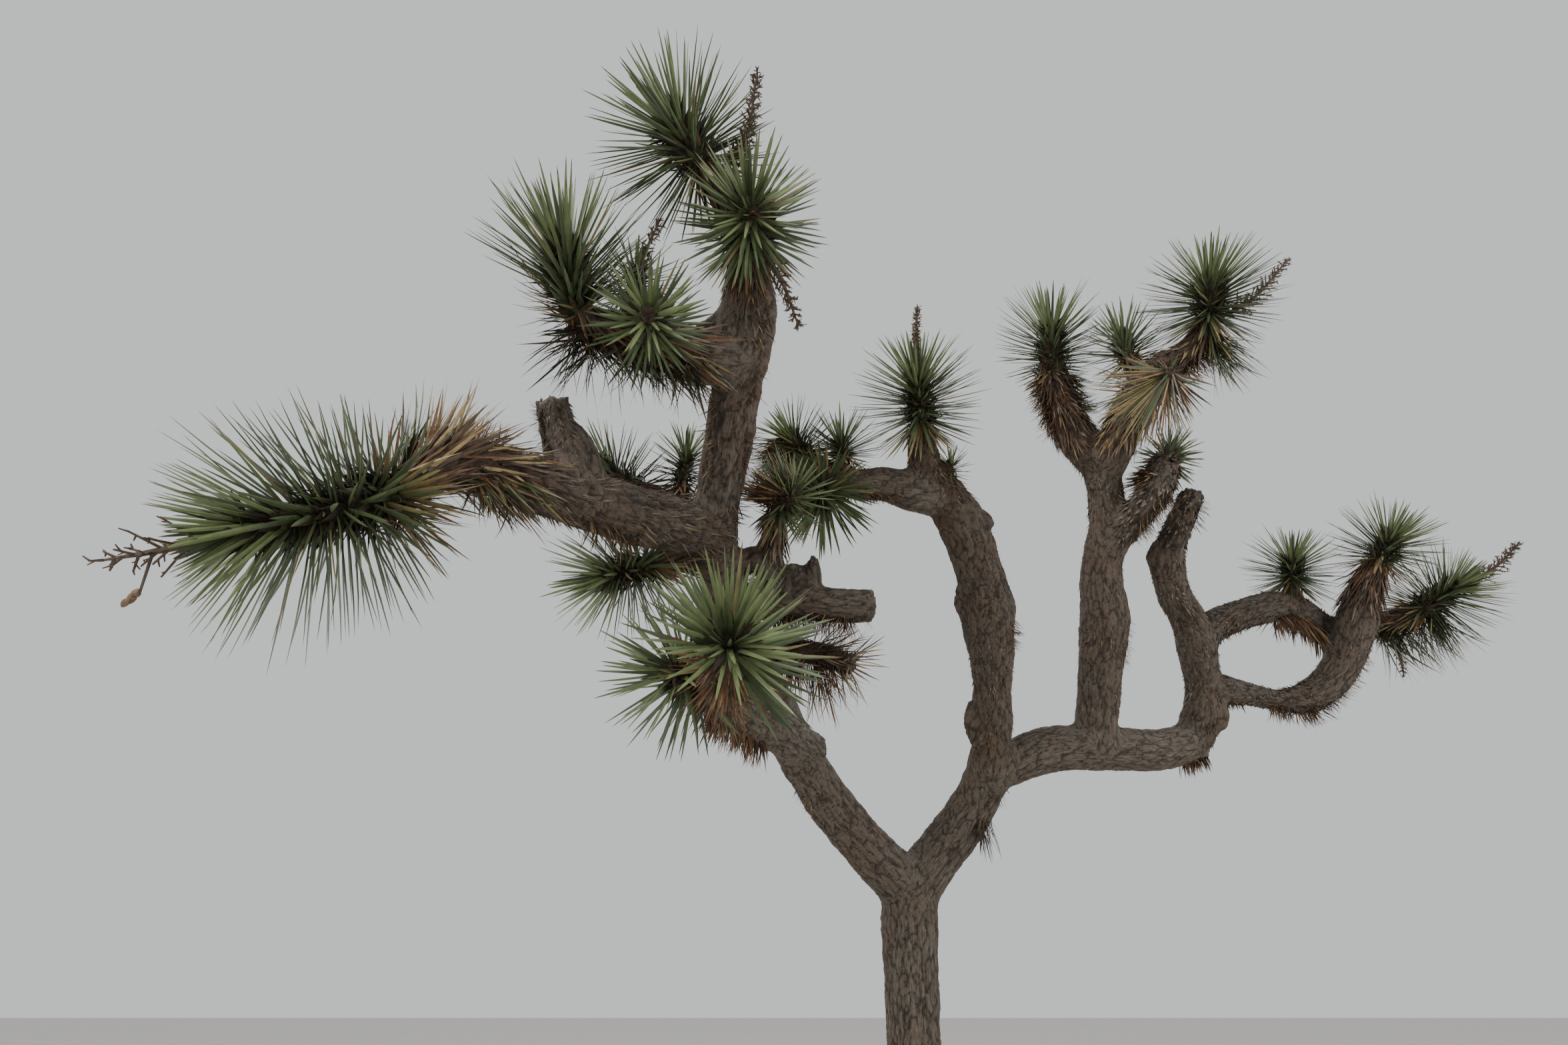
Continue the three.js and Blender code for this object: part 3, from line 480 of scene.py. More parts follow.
def growth_path(joints):
    """The curve of a line of growth in metres: places, headings, sides carried along it, girths and runs."""
    points = np.array([joint[:3] for joint in joints], float) * MM
    radii = np.array([joint[3] for joint in joints], float) * MM
    spans = len(points) - 1
    padded = np.vstack([2 * points[0] - points[1], points, 2 * points[-1] - points[-2]])
    places, headings, girths = [], [], []
    for step in range(spans * FINE + 1):
        span = min(step // FINE, spans - 1)
        share = step / FINE - span
        p0, p1, p2, p3 = padded[span:span + 4]
        d0, d1, d2 = (np.linalg.norm(b - a) ** 0.5 for a, b in ((p0, p1), (p1, p2), (p2, p3)))
        start = ((p1 - p0) / d0 - (p2 - p0) / (d0 + d1) + (p2 - p1) / d1) * d1
        end = ((p2 - p1) / d1 - (p3 - p1) / (d1 + d2) + (p3 - p2) / d2) * d1
        square, cube = -3 * p1 + 3 * p2 - 2 * start - end, 2 * p1 - 2 * p2 + start + end
        places.append(p1 + start * share + square * share ** 2 + cube * share ** 3)
        headings.append(start + 2 * square * share + 3 * cube * share ** 2)
        girths.append(radii[span] + (radii[span + 1] - radii[span]) * share)
    side, sides = np.array([1.0, 0.0, 0.0]), []
    headings = unit(np.array(headings))
    for heading in headings:
        side = unit(side - heading * side.dot(heading))
        sides.append(side)
    sides, places = np.array(sides), np.array(places)
    run = np.concatenate([[0], np.cumsum(np.linalg.norm(np.diff(places, axis=0), axis=1))])
    return {"place": places, "along": headings, "side": sides, "across": np.cross(headings, sides),
            "girth": np.array(girths), "run": run}


def sample(path, at):
    """The path's values at some shares of its length."""
    steps = len(path["place"]) - 1
    index = np.clip((at * steps).astype(int), 0, steps - 1)
    share = at * steps - index
    mixed = {}
    for key, values in path.items():
        weight = share if values.ndim == 1 else share[:, None]
        mixed[key] = values[index] * (1 - weight) + values[index + 1] * weight
    return mixed


def pieces_of(lines):
    """Each limb and shoot of some lines with its own stretch of the line's path."""
    found = {}
    for line in lines:
        joints, pieces = LINES[line]
        path = growth_path(joints)
        start = 0
        for name, end in pieces:
            found[name] = {key: values[start * FINE:end * FINE + 1] for key, values in path.items()}
            start = end
    return found


def turns(sides):
    """The angles of a ring's corners."""
    return np.arange(sides) * 2 * math.pi / sides


def ring(side, across, turn):
    """The way from an axis to the corners of a ring round it."""
    return np.cos(turn)[:, None] * side[..., None, :] + np.sin(turn)[:, None] * across[..., None, :]


def tube_faces(sides, rings):
    """The quads between rings whose corners are numbered one ring after another."""
    here = np.arange(sides)
    beside = (here + 1) % sides
    return np.concatenate([np.stack([here, beside, beside + sides, here + sides], axis=1) + level * sides
                           for level in range(rings - 1)])


def path_area(path):
    length = np.linalg.norm(np.diff(path["place"], axis=0), axis=1).sum()
    return 2 * math.pi * path["girth"].mean() * length


def hash_noise(cells, seed):
    """A repeatable value from 0 to 1 for each whole-number cell."""
    x, y, z = (cells[..., i].astype(np.int64) for i in range(3))
    mixed = (x * 374761393 + y * 668265263 + z * 2147483647 + seed * 974634777) & 0x7FFFFFFF
    mixed = ((mixed ^ (mixed >> 13)) * 1274126177) & 0x7FFFFFFF
    return ((mixed ^ (mixed >> 16)) & 0xFFFF) / 65535


def value_noise(points, seed):
    """Smooth noise from -1 to 1."""
    cells = np.floor(points).astype(np.int64)
    share = points - cells
    share = share * share * (3 - 2 * share)
    total = np.zeros(len(points))
    for corner in range(8):
        offset = np.array([corner & 1, corner >> 1 & 1, corner >> 2])
        weight = np.prod(np.where(offset == 1, share, 1 - share), axis=1)
        total += weight * hash_noise(cells + offset, seed)
    return total * 2 - 1


def plate_edges(points, seed):
    """How far each point is inside its bark plate: 0 on a crack, about 1 in the middle."""
    cells = np.floor(points).astype(np.int64)
    nearest = np.full(len(points), 9.0)
    second = np.full(len(points), 9.0)
    for dx in (-1, 0, 1):
        for dy in (-1, 0, 1):
            for dz in (-1, 0, 1):
                cell = cells + np.array([dx, dy, dz])
                jitter = np.stack([hash_noise(cell, seed + k) for k in range(3)], axis=1)
                distance = np.linalg.norm(cell + jitter - points, axis=1)
                closer = distance < nearest
                second = np.where(closer, nearest, np.minimum(second, distance))
                nearest = np.where(closer, distance, nearest)
    return second - nearest


def mesh_object(name, places, quads, triangles, quad_finish=None, triangle_finish=None, smooth=False):
    """A mesh object from arrays of quads and triangles, with a material number for each face."""
    mesh = bpy.data.meshes.new(name)
    quads = np.asarray(quads, np.int32).reshape(-1, 4)
    triangles = np.asarray(triangles, np.int32).reshape(-1, 3)
    mesh.vertices.add(len(places))
    mesh.vertices.foreach_set("co", np.asarray(places, np.float32).ravel())
    corners = np.concatenate([quads.ravel(), triangles.ravel()])
    mesh.loops.add(len(corners))
    mesh.loops.foreach_set("vertex_index", corners)
    mesh.polygons.add(len(quads) + len(triangles))
    starts = np.concatenate([np.arange(len(quads)) * 4, len(quads) * 4 + np.arange(len(triangles)) * 3])
    mesh.polygons.foreach_set("loop_start", starts.astype(np.int32))
    finish = np.concatenate([
        np.zeros(len(quads), np.int32) if quad_finish is None else quad_finish,
        np.zeros(len(triangles), np.int32) if triangle_finish is None else triangle_finish])
    mesh.polygons.foreach_set("material_index", finish.astype(np.int32))
    mesh.polygons.foreach_set("use_smooth", np.full(len(finish), smooth))
    mesh.update(calc_edges=True)
    mesh.validate()
    piece = bpy.data.objects.new(name, mesh)
    bpy.context.scene.collection.objects.link(piece)
    return piece


def read(items, key, width=1, kind=np.float32):
    """The numbers, or rows of numbers, that a mesh holds for its points, edges or faces."""
    values = np.empty(len(items) * width, kind)
    items.foreach_get(key, values)
    return values if width == 1 else values.reshape(-1, width)


def store(mesh, name, values):
    """Keeps a number or a vector with each point of a mesh, for its material."""
    kind, key = ("FLOAT_VECTOR", "vector") if values.ndim == 2 else ("FLOAT", "value")
    mesh.attributes.new(name, kind, "POINT").data.foreach_set(key, values.astype(np.float32).ravel())


def dress(piece, materials, nodes):
    """Gives a piece its materials, hangs it on the root body and hides the nodes that it stands for."""
    for material in materials:
        piece.data.materials.append(material)
    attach(piece, "root")
    if nodes:
        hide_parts(*nodes)


def node(tree, kind, settings=None, links=None):
    """Adds one shader node, sets its values and links its inputs."""
    made = tree.nodes.new("ShaderNode" + kind)
    for key, value in (settings or {}).items():
        if isinstance(key, str) and hasattr(made, key):
            setattr(made, key, value)
        else:
            made.inputs[key].default_value = value
    for key, source in (links or {}).items():
        tree.links.new(source, made.inputs[key])
    return made


def shaded(tone, strength):
    return (*(value * strength for value in tone), 1)


def plain_material(name, roughness, ior):
    """A new material with its shader."""
    material = bpy.data.materials.new(name)
    material.use_nodes = True
    shader = material.node_tree.nodes["Principled BSDF"]
    shader.inputs["Roughness"].default_value = roughness
    shader.inputs["IOR"].default_value = ior
    return material, shader


def finish_shader(tree, shader, colour, height, strength, bump_mm):
    """Gives a shader its colour, and its relief from a height."""
    bump = node(tree, "Bump", {"Strength": strength, "Distance": bump_mm * MM}, {"Height": height})
    tree.links.new(colour, shader.inputs["Base Color"])
    tree.links.new(bump.outputs["Normal"], shader.inputs["Normal"])


def surface(name, tone, roughness, ior, grain_mm, contrast=0.25, bump_mm=0.4):
    """A material of one tone, mottled at a real size, with the relief of a finer grain."""
    material, shader = plain_material(name, roughness, ior)
    tree = material.node_tree
    place = node(tree, "TexCoord")
    grain = node(tree, "TexNoise", {"Scale": 1 / (grain_mm * MM), "Detail": 4.0, "Roughness": 0.6},
                 {"Vector": place.outputs["Object"]})
    share = node(tree, "MapRange", {"From Min": 0.35, "From Max": 0.65},
                 {"Value": grain.outputs["Fac"]})
    mottled = node(tree, "Mix",
                   {"data_type": "RGBA", 6: shaded(tone, 1 - contrast), 7: shaded(tone, 1 + contrast)},
                   {0: share.outputs[0]})
    finish_shader(tree, shader, mottled.outputs[2], grain.outputs["Fac"], 0.7, bump_mm)
    return material


def bark_surface(name, ridge, stain, crack, fibre_mm, stain_share, bump_mm):
    """Bark whose fibres run along the limb, stained in patches, with painted shade in its fissures."""
    material, shader = plain_material(name, 0.95, 1.4)
    tree = material.node_tree
    rolled = node(tree, "Attribute", {"attribute_name": "grain"})
    drawn_out = node(tree, "Mapping", {"Scale": (1, 1, 0.13)}, {"Vector": rolled.outputs["Vector"]})
    fine = {"Scale": 1 / (fibre_mm * MM), "Detail": 7.0, "Roughness": 0.72}
    along_limb = node(tree, "TexNoise", fine, {"Vector": drawn_out.outputs[0]})
    place = node(tree, "TexCoord")
    upright = node(tree, "Mapping", {"Scale": (1, 1, 0.25)}, {"Vector": place.outputs["Object"]})
    at_joins = node(tree, "TexNoise", fine, {"Vector": upright.outputs[0]})
    join = node(tree, "Attribute", {"attribute_name": "join"})
    fibres = node(tree, "Mix", {}, {0: join.outputs["Fac"], 2: along_limb.outputs["Fac"],
                                    3: at_joins.outputs["Fac"]}).outputs[0]
    streaks = node(tree, "MapRange", {"From Min": 0.36, "From Max": 0.66}, {"Value": fibres})
    body = node(tree, "Mix", {"data_type": "RGBA", 6: shaded(ridge, 0.36), 7: shaded(ridge, 1.22)},
                {0: streaks.outputs[0]})
    patches = node(tree, "TexNoise", {"Scale": 5.0, "Detail": 4.0, "Roughness": 0.6},
                   {"Vector": place.outputs["Object"]})
    stained = node(tree, "MapRange",
                   {"From Min": 0.62 - 0.3 * stain_share, "From Max": 0.7, "To Max": 0.7},
                   {"Value": patches.outputs["Fac"]})
    patched = node(tree, "Mix", {"data_type": "RGBA", 7: (*stain, 1)},
                   {0: stained.outputs[0], 6: body.outputs[2]})
    # Painted shade in the fissures: the stored share mixes the colour towards the crack shade
    fissures = node(tree, "Attribute", {"attribute_name": "fissure"})
    with_crack_shade = node(tree, "Mix", {"data_type": "RGBA", 7: (*crack, 1)},
                   {0: fissures.outputs["Fac"], 6: patched.outputs[2]})
    finish_shader(tree, shader, with_crack_shade.outputs[2], fibres, 1.0, bump_mm)
    return material


def limb_shell():
    """Every limb and shoot stem as one shell of rods."""
    places, quads, triangles = [], [], []
    count, sides = 0, 14
    for joints in [joints for joints, _ in LINES.values()] + list(KNOTS):
        route = growth_path(joints)
        out = ring(route["side"], route["across"], turns(sides))
        places.append((route["place"][:, None] + route["girth"][:, None, None] * out).reshape(-1, 3))
        places.append(route["place"][[0, -1]])
        steps = len(out)
        quads.append(count + tube_faces(sides, steps))
        first, last = count + steps * sides, count + steps * sides + 1
        low = count + np.arange(sides)
        high = count + (steps - 1) * sides + np.arange(sides)
        triangles.append(np.stack([np.full(sides, first), np.roll(low, -1), low], axis=1))
        triangles.append(np.stack([np.full(sides, last), high, np.roll(high, -1)], axis=1))
        count += steps * sides + 2
    return mesh_object("limb_shell", *(np.concatenate(rows) for rows in (places, quads, triangles)))


def cover_at(name, share):
    """What covers a limb at a share of its length."""
    kinds = [kind for kind, start, end, _ in LIMB_COVERS.get(name, ()) if start <= share <= end]
    return kinds[-1] if kinds else ("shoot" if name not in LIMB_COVERS else "fibre")


def skeleton():
    """Points along every limb and shoot, with their covers, for finding a surface point's own limb."""
    rows = {"place": [], "along": [], "side": [], "across": [], "girth": [], "run": []}
    names, lines, covers, torn = [], [], [], []
    for number, line in enumerate(LINES):
        for name, path in pieces_of([line]).items():
            for key in rows:
                rows[key].append(path[key])
            last = len(path["run"]) - 1
            names += [name] * (last + 1)
            lines += [number] * (last + 1)
            covers += [cover_at(name, i / last) for i in range(last + 1)]
            torn += [name in TORN_ENDS and i == last for i in range(last + 1)]
    bones = {key: np.concatenate(value) for key, value in rows.items()}
    bones.update(name=np.array(names), line=np.array(lines), cover=np.array(covers), torn=np.array(torn))
    tree = kdtree.KDTree(len(bones["place"]))
    for i, place in enumerate(bones["place"]):
        tree.insert(place, i)
    tree.balance()
    return bones, tree


def trunk_flare(heights, turn, on_trunk):
    """How far the foot of the trunk spreads, in buttresses."""
    spread = FLARE * np.exp(-np.maximum(heights, 0) / FLARE_HEIGHT)
    spread = spread * (1 + BUTTRESS_SHARE * np.sin(BUTTRESSES * turn))
    return np.where(on_trunk & (heights < 1.0), spread, 0)


class Web:
    """The skin's points joined by its edges, for spreading and evening values."""

    def __init__(self, skin):
        ends = read(skin.edges, "vertices", 2, np.int32)
        self.near, self.far = np.concatenate([ends, ends[:, ::-1]]).T
        self.count = np.maximum(np.bincount(self.near, minlength=len(skin.vertices)), 1)[:, None]

    def seams(self, kinds, steps):
        """1 where points of different kinds meet, fading to 0 over some steps along the skin."""
        share = np.zeros(len(kinds))
        share[self.near[kinds[self.near] != kinds[self.far]]] = 1
        for step in range(steps):
            fade = 0 if step == 0 else 1 / steps
            spread = share.copy()
            np.maximum.at(spread, self.near, share[self.far] - fade)
            share = spread
        return share

    def evened(self, values, share, rounds):
        """Columns of values, drawn towards their neighbours' mean by each point's share."""
        for _ in range(rounds):
            mean = np.stack([np.bincount(self.near, weights=column[self.far], minlength=len(values))
                             for column in values.T], axis=1) / self.count
            values = values + (mean - values) * share[:, None]
        return values


def bark_pattern(points, plate, sliver, seed):
    """How far inside its plate and its sliver of bark each point lies, from 0 to 1."""
    wander = np.stack([value_noise(points * 22, seed + k) for k in range(3)], axis=1) * 0.012
    edges = [plate_edges((points + wander) / np.array(size), seed + offset)
             for size, offset in ((plate, 5), (sliver, 11))]
    return np.clip(np.stack(edges, axis=1) / CRACK_WIDTH, 0, 1)


def lumps(points, rows):
    return sum(value_noise(points * often, seed) * height for often, height, seed in rows)


def bark_relief(skin, bones, tree, settings):
    """Shapes fissures, lumps and torn ends into the skin, and stores each point's unrolled place."""
    places = read(skin.vertices, "co", 3).astype(float)
    nearest = np.array([tree.find(place)[1] for place in places])
    web = Web(skin)
    join = web.seams(bones["line"][nearest], JOIN_REACH)
    places = web.evened(places, np.clip(join * 1.6, 0, 1), JOIN_ROUNDS)
    skin.vertices.foreach_set("co", places.astype(np.float32).ravel())
    skin.update()
    normals = read(skin.vertex_normals, "vector", 3).astype(float)
    offset = places - bones["place"][nearest]
    turn = np.arctan2(np.einsum("ij,ij->i", offset, bones["across"][nearest]),
                      np.einsum("ij,ij->i", offset, bones["side"][nearest]))
    ahead = np.einsum("ij,ij->i", offset, bones["along"][nearest])
    girth, cover = bones["girth"][nearest], bones["cover"][nearest]
    rolled = np.stack([np.cos(turn) * girth, np.sin(turn) * girth, bones["run"][nearest] + ahead], axis=1)
    pattern = bark_pattern(rolled, PLATE, SLIVER, 31)
    mixed = join > 0
    loose = bark_pattern(places[mixed], JOIN_PLATE, JOIN_SLIVER, 61)
    pattern[mixed] += (loose - pattern[mixed]) * join[mixed, None]
    plates, slivers = pattern.T
    crack = (1 - plates) ** 1.5
    aged = np.exp(-np.maximum(places[:, 2], 0) / OLD_BARK_HEIGHT)
    depth = settings.fissure_depth * np.where(np.isin(cover, ("fibre", "fringe")), 0.5 + 0.5 * aged, 0.5)
    kinds = np.array(list(SKIN_DEPTHS))
    kind = np.argmax(cover[:, None] == kinds[None], axis=1)
    sunk = girth * (1 - np.array(list(SKIN_DEPTHS.values()))[kind])
    edge = web.seams(bones["line"][nearest] * len(kinds) + kind, COVER_REACH)
    depth, sunk = web.evened(np.stack([depth, sunk], axis=1), edge, COVER_ROUNDS).T
    torn = bones["torn"][nearest] & (ahead > -0.004)
    lump = lumps(places, LUMPS) + np.where(torn, lumps(places, TORN_LUMPS), 0)
    flare = trunk_flare(places[:, 2], turn, bones["name"][nearest] == "trunk")
    shift = lump + flare - depth * crack - SLIVER_DEPTH * settings.fissure_depth * (1 - slivers) - sunk
    places += normals * shift[:, None]
    skin.vertices.foreach_set("co", places.astype(np.float32).ravel())
    store(skin, "grain", rolled)
    # Painted shade: how far each point's colour is darkened in the fissures, most in the plates' cracks,
    # less in the slivers'
    store(skin, "fissure", np.clip(crack * 0.9 + (1 - slivers) * 0.32, 0, 1))
    store(skin, "join", np.clip(join * 1.3, 0, 1))
    skin.update()


def grow_bark(settings):
    """Remeshes the limbs into one skin, gives it its relief and cuts it level at the ground."""
    shell = limb_shell()
    modifier = shell.modifiers.new("skin", "REMESH")
    modifier.mode = "VOXEL"
    modifier.voxel_size = settings.skin_step
    graph = bpy.context.evaluated_depsgraph_get()
    skin = bpy.data.meshes.new_from_object(shell.evaluated_get(graph))
    bpy.data.objects.remove(shell)
    bones, tree = skeleton()
    bark_relief(skin, bones, tree, settings)
    shaped = bmesh.new()
    shaped.from_mesh(skin)
    bmesh.ops.bisect_plane(shaped, geom=shaped.verts[:] + shaped.edges[:] + shaped.faces[:],
                           plane_co=(0, 0, 0), plane_no=(0, 0, -1), clear_outer=True)
    rim = [edge for edge in shaped.edges if edge.is_boundary]
    bmesh.ops.edgeloop_fill(shaped, edges=rim)
    shaped.to_mesh(skin)
    shaped.free()
    return skin, bones, tree


def split_skin(skin, bones, tree, materials):
    """Shares the skin's faces out between the parts of the bark."""
    owned = {group: [name for line in lines for name, _ in LINES[line][1]]
             for group, lines in BARK_PARTS.items()}
    owner = {name: group for group, names in owned.items() for name in names}
    nearest = np.array([tree.find(centre)[1] for centre in read(skin.polygons, "center", 3)])
    cover = bones["cover"][nearest]
    finish = np.select([np.isin(cover, ("fibre", "fringe")), np.isin(cover, ("shag", "scales"))], [0, 1], 2)
    owners = np.array([owner[name] for name in bones["name"]])[nearest]
    places = read(skin.vertices, "co", 3)
    kept = {"grain": read(skin.attributes["grain"].data, "vector", 3),
            "fissure": read(skin.attributes["fissure"].data, "value"),
            "join": read(skin.attributes["join"].data, "value")}
    sizes = read(skin.polygons, "loop_total", kind=np.int32)
    corners = read(skin.loops, "vertex_index", kind=np.int32)
    starts = np.concatenate([[0], np.cumsum(sizes)[:-1]])
    for group, names in owned.items():
        mine = owners == group
        is_quad, is_triangle = mine & (sizes == 4), mine & (sizes == 3)
        quads = corners[starts[is_quad][:, None] + np.arange(4)]
        triangles = corners[starts[is_triangle][:, None] + np.arange(3)]
        large = [corners[starts[i]:starts[i] + sizes[i]] for i in np.flatnonzero(mine & (sizes > 4))]
        fans = [np.stack([np.full(len(face) - 2, face[0]), face[1:-1], face[2:]], axis=1) for face in large]
        triangle_finish = np.concatenate([finish[is_triangle]] + [np.zeros(len(fan), int) for fan in fans])
        triangles = np.concatenate([triangles] + fans)
        used, renumbered = np.unique(np.concatenate([quads.ravel(), triangles.ravel()]), return_inverse=True)
        piece = mesh_object(group + "_bark", places[used], renumbered[:quads.size], renumbered[quads.size:],
                            finish[is_quad], triangle_finish, smooth=True)
        for key, values in kept.items():
            store(piece.data, key, values[used])
        dress(piece, materials, [name for name in names if name in LIMB_COVERS])


# A leaf's cross sections: share of its length, and its width there against its widest
LEAF_SECTIONS = ((0.0, 1.4), (0.08, 1.04), (0.35, 0.93), (0.7, 0.7), (0.92, 0.28))
DEAD_SECTIONS = ((0.0, 0.9), (0.35, 1.0), (0.7, 0.6))
STUB_SECTIONS = ((0.0, 1.0), (0.5, 0.75))

# The corners of a cross section, across the leaf and above its face, in half widths
KEELED = ((-1, 0), (0, -0.62), (1, 0), (0, 0.14))
FLAT = ((-1, 0), (0, -0.3), (1, 0), (0, 0.12))
SPLIT = ((-1, 0), (0, -0.45), (1, 0))


def blades(roots, headings, faces, lengths, widths, bend, finish, tip_finish, sections, corners, twist=0.0):
    """Dagger leaves: blades that narrow to a point, each bent towards or away from its face."""
    number = len(roots)
    shares, spread = np.array(sections).T
    across_by, face_by = np.array(corners, float).T
    headings = unit(headings)
    across = unit(np.cross(headings, faces))
    faces = np.cross(across, headings)
    centres = (roots[:, None] + headings[:, None] * (lengths[:, None] * shares)[..., None]
               + faces[:, None] * ((lengths * bend)[:, None] * shares ** 2)[..., None])
    tips = roots + headings * lengths[:, None] + faces * (lengths * bend)[:, None]
    turn = (np.broadcast_to(twist, number)[:, None] * shares)[..., None]
    edge = across[:, None] * np.cos(turn) + faces[:, None] * np.sin(turn)
    top = faces[:, None] * np.cos(turn) - across[:, None] * np.sin(turn)
    half = (widths[:, None] * spread / 2)[..., None, None]
    outline = centres[:, :, None] + half * (
        edge[:, :, None] * across_by[:, None] + top[:, :, None] * face_by[:, None])
    sides, rings = len(corners), len(shares)
    places = np.concatenate([outline.reshape(number, rings * sides, 3), tips[:, None]], axis=1)
    quads = tube_faces(sides, rings)
    low = (rings - 1) * sides + np.arange(sides)
    points = np.stack([low, np.roll(low, -1), np.full(sides, rings * sides)], axis=1)
    foot = [[0, i + 1, i] for i in range(1, sides - 1)]
    triangles = np.concatenate([points, foot])
    base = (np.arange(number) * (rings * sides + 1))[:, None, None]
    return {"places": places.reshape(-1, 3),
            "quads": (base + quads).reshape(-1, 4), "quad_finish": np.repeat(finish, len(quads)),
            "triangles": (base + triangles).reshape(-1, 3),
            "triangle_finish": np.repeat(tip_finish, len(triangles))}


def rods(starts, ends, thick, thin, sides=5):
    """Tapering twigs with closed tips, between pairs of points."""
    along = unit(ends - starts)
    upright = np.abs(along[:, 2:3]) > 0.9
    side = unit(np.cross(along, np.where(upright, np.array([1.0, 0, 0]), UP)))
    out = ring(side, np.cross(along, side), turns(sides))
    thick, thin = (np.broadcast_to(value, len(starts))[:, None, None] for value in (thick, thin))
    tips = ends[:, None] + along[:, None] * thin
    places = np.concatenate([starts[:, None] + out * thick, ends[:, None] + out * thin, tips], axis=1)
    rim = sides + np.arange(sides)
    triangles = np.stack([rim, np.roll(rim, -1), np.full(sides, 2 * sides)], axis=1)
    base = (np.arange(len(starts)) * (2 * sides + 1))[:, None, None]
    finish = np.zeros(len(starts) * sides, int)
    return {"places": places.reshape(-1, 3), "quads": (base + tube_faces(sides, 2)).reshape(-1, 4),
            "triangles": (base + triangles).reshape(-1, 3), "quad_finish": finish, "triangle_finish": finish}


def join_batches(batches):
    """One set of arrays from several."""
    counts = np.cumsum([0] + [len(batch["places"]) for batch in batches])
    return {key: np.concatenate([batch[key] + (count if key in ("quads", "triangles") else 0)
                                 for batch, count in zip(batches, counts)])
            for key in batches[0]}


def plant(name, batches, materials, nodes=()):
    """One piece made of batches of leaves or twigs."""
    dress(mesh_object(name, **join_batches(batches)), materials, nodes)


def around(at, turn):
    """The way out of a limb at some turns round it."""
    return unit(at["side"] * np.cos(turn)[:, None] + at["across"] * np.sin(turn)[:, None])


def outside(at, out, share):
    """Places this share of a limb's girth out from its middle."""
    return at["place"] + out * (at["girth"] * share)[:, None]


def dead_tones(places, weights, random):
    """A dead tone for each leaf, mixed by chance within patches a hand or two across."""
    luck = random.random(len(places)) * 0.75 + (value_noise(places * 4.5, 77) * 0.5 + 0.5) * 0.4
    limits = np.cumsum(weights) / sum(weights)
    return np.array(DEAD_TONES)[np.searchsorted(limits, np.mod(luck, 1.0)).clip(0, len(DEAD_TONES) - 1)]


def rosette_leaves(path, random, settings, leaf, leaves, bare=0.0, bud=5, reflexed=120, young=0.55, old=0.74,
                   sag=0.0, dying=None):
    """The leaves of one shoot, by golden angle from its foot to its bud."""
    age = 1 - (np.arange(leaves) + 0.5) / leaves
    at = sample(path, 0.99 - (0.99 - bare) * age ** 0.9)
    nearest, furthest = math.radians(bud), math.radians(reflexed)
    tilt = np.arccos(np.cos(nearest) + (np.cos(furthest) - np.cos(nearest)) * age)
    tilt += random.normal(0, 0.08, leaves)
    out = around(at, np.arange(leaves) * GOLDEN_ANGLE + random.normal(0, 0.14, leaves))
    along = unit(at["along"])
    heading = out * np.sin(tilt)[:, None] + along * np.cos(tilt)[:, None]
    face = along * np.sin(tilt)[:, None] - out * np.cos(tilt)[:, None]
    luck = random.random(leaves)
    length = leaf * MM * random.uniform(0.86, 1.06, leaves)
    length *= np.interp(age, [0, 0.12, 0.3, 0.65, 1], [young, min(1, young + 0.4), 1, 1, old])
    length *= 1 - sag * heading[:, 2]
    width = settings.leaf_width * random.uniform(0.85, 1.12, leaves)
    width = width * np.interp(leaf, [110, 300], [0.6, 1.0])
    bend = random.normal(0.01, 0.03, leaves)
    roots = outside(at, out, 0.5)
    heading = unit(heading - UP * (np.clip(age - 0.7, 0, 1) * 0.5)[:, None])
    finish = np.select([age < 0.06, age < 0.3, luck < 0.42, luck < 0.93],
                       [OLIVE, FRESH, GREEN, OLIVE], AGEING)
    withering = np.select([luck < 0.35, luck < 0.55, luck < 0.75], [AGEING, STRAW, RUST], OLIVE)
    finish = np.where(age > 0.86, withering, finish)
    if dying:
        gone = (heading.dot(unit(np.array(dying))) > 0.42) & (age > 0.22)
        length = np.where(gone, length * random.uniform(0.4, 0.75, leaves), length)
        width = np.where(gone, width * 0.6, width)
        bend = np.where(gone, random.normal(0.3, 0.3, leaves), bend)
        finish = np.where(gone, random.choice([RUST, RUST, STRAW, BROWN], leaves), finish)
    spine = np.where(finish >= STRAW, finish, SPINE)
    return blades(roots, heading, face, length, width, bend, finish, spine, LEAF_SECTIONS, KEELED)


def leaf_bases(path, random, leaf, leaves, bare=0.0):
    """The broad feet of old leaves that clothe a shoot, darkened as painted shade under the living ones."""
    at = sample(path, bare + (0.94 - bare) * random.random(leaves))
    out = around(at, np.arange(leaves) * GOLDEN_ANGLE)
    tilt = random.uniform(0.5, 1.5, leaves)[:, None]
    heading = out * np.sin(tilt) + at["along"] * np.cos(tilt) + random.normal(0, 0.1, (leaves, 3))
    length = leaf * MM * random.uniform(0.18, 0.36, leaves)
    width = leaf * MM * random.uniform(0.06, 0.1, leaves)
    # Painted shade: dark tones, mostly the rotting one, stand for the shade in the shoot's core
    finish = random.choice([OLIVE, DARK, BROWN, DARK], leaves)
    roots = outside(at, out, 0.75)
    return blades(roots, heading, at["along"], length, width, random.normal(0.05, 0.05, leaves), finish,
                  finish, STUB_SECTIONS, FLAT)


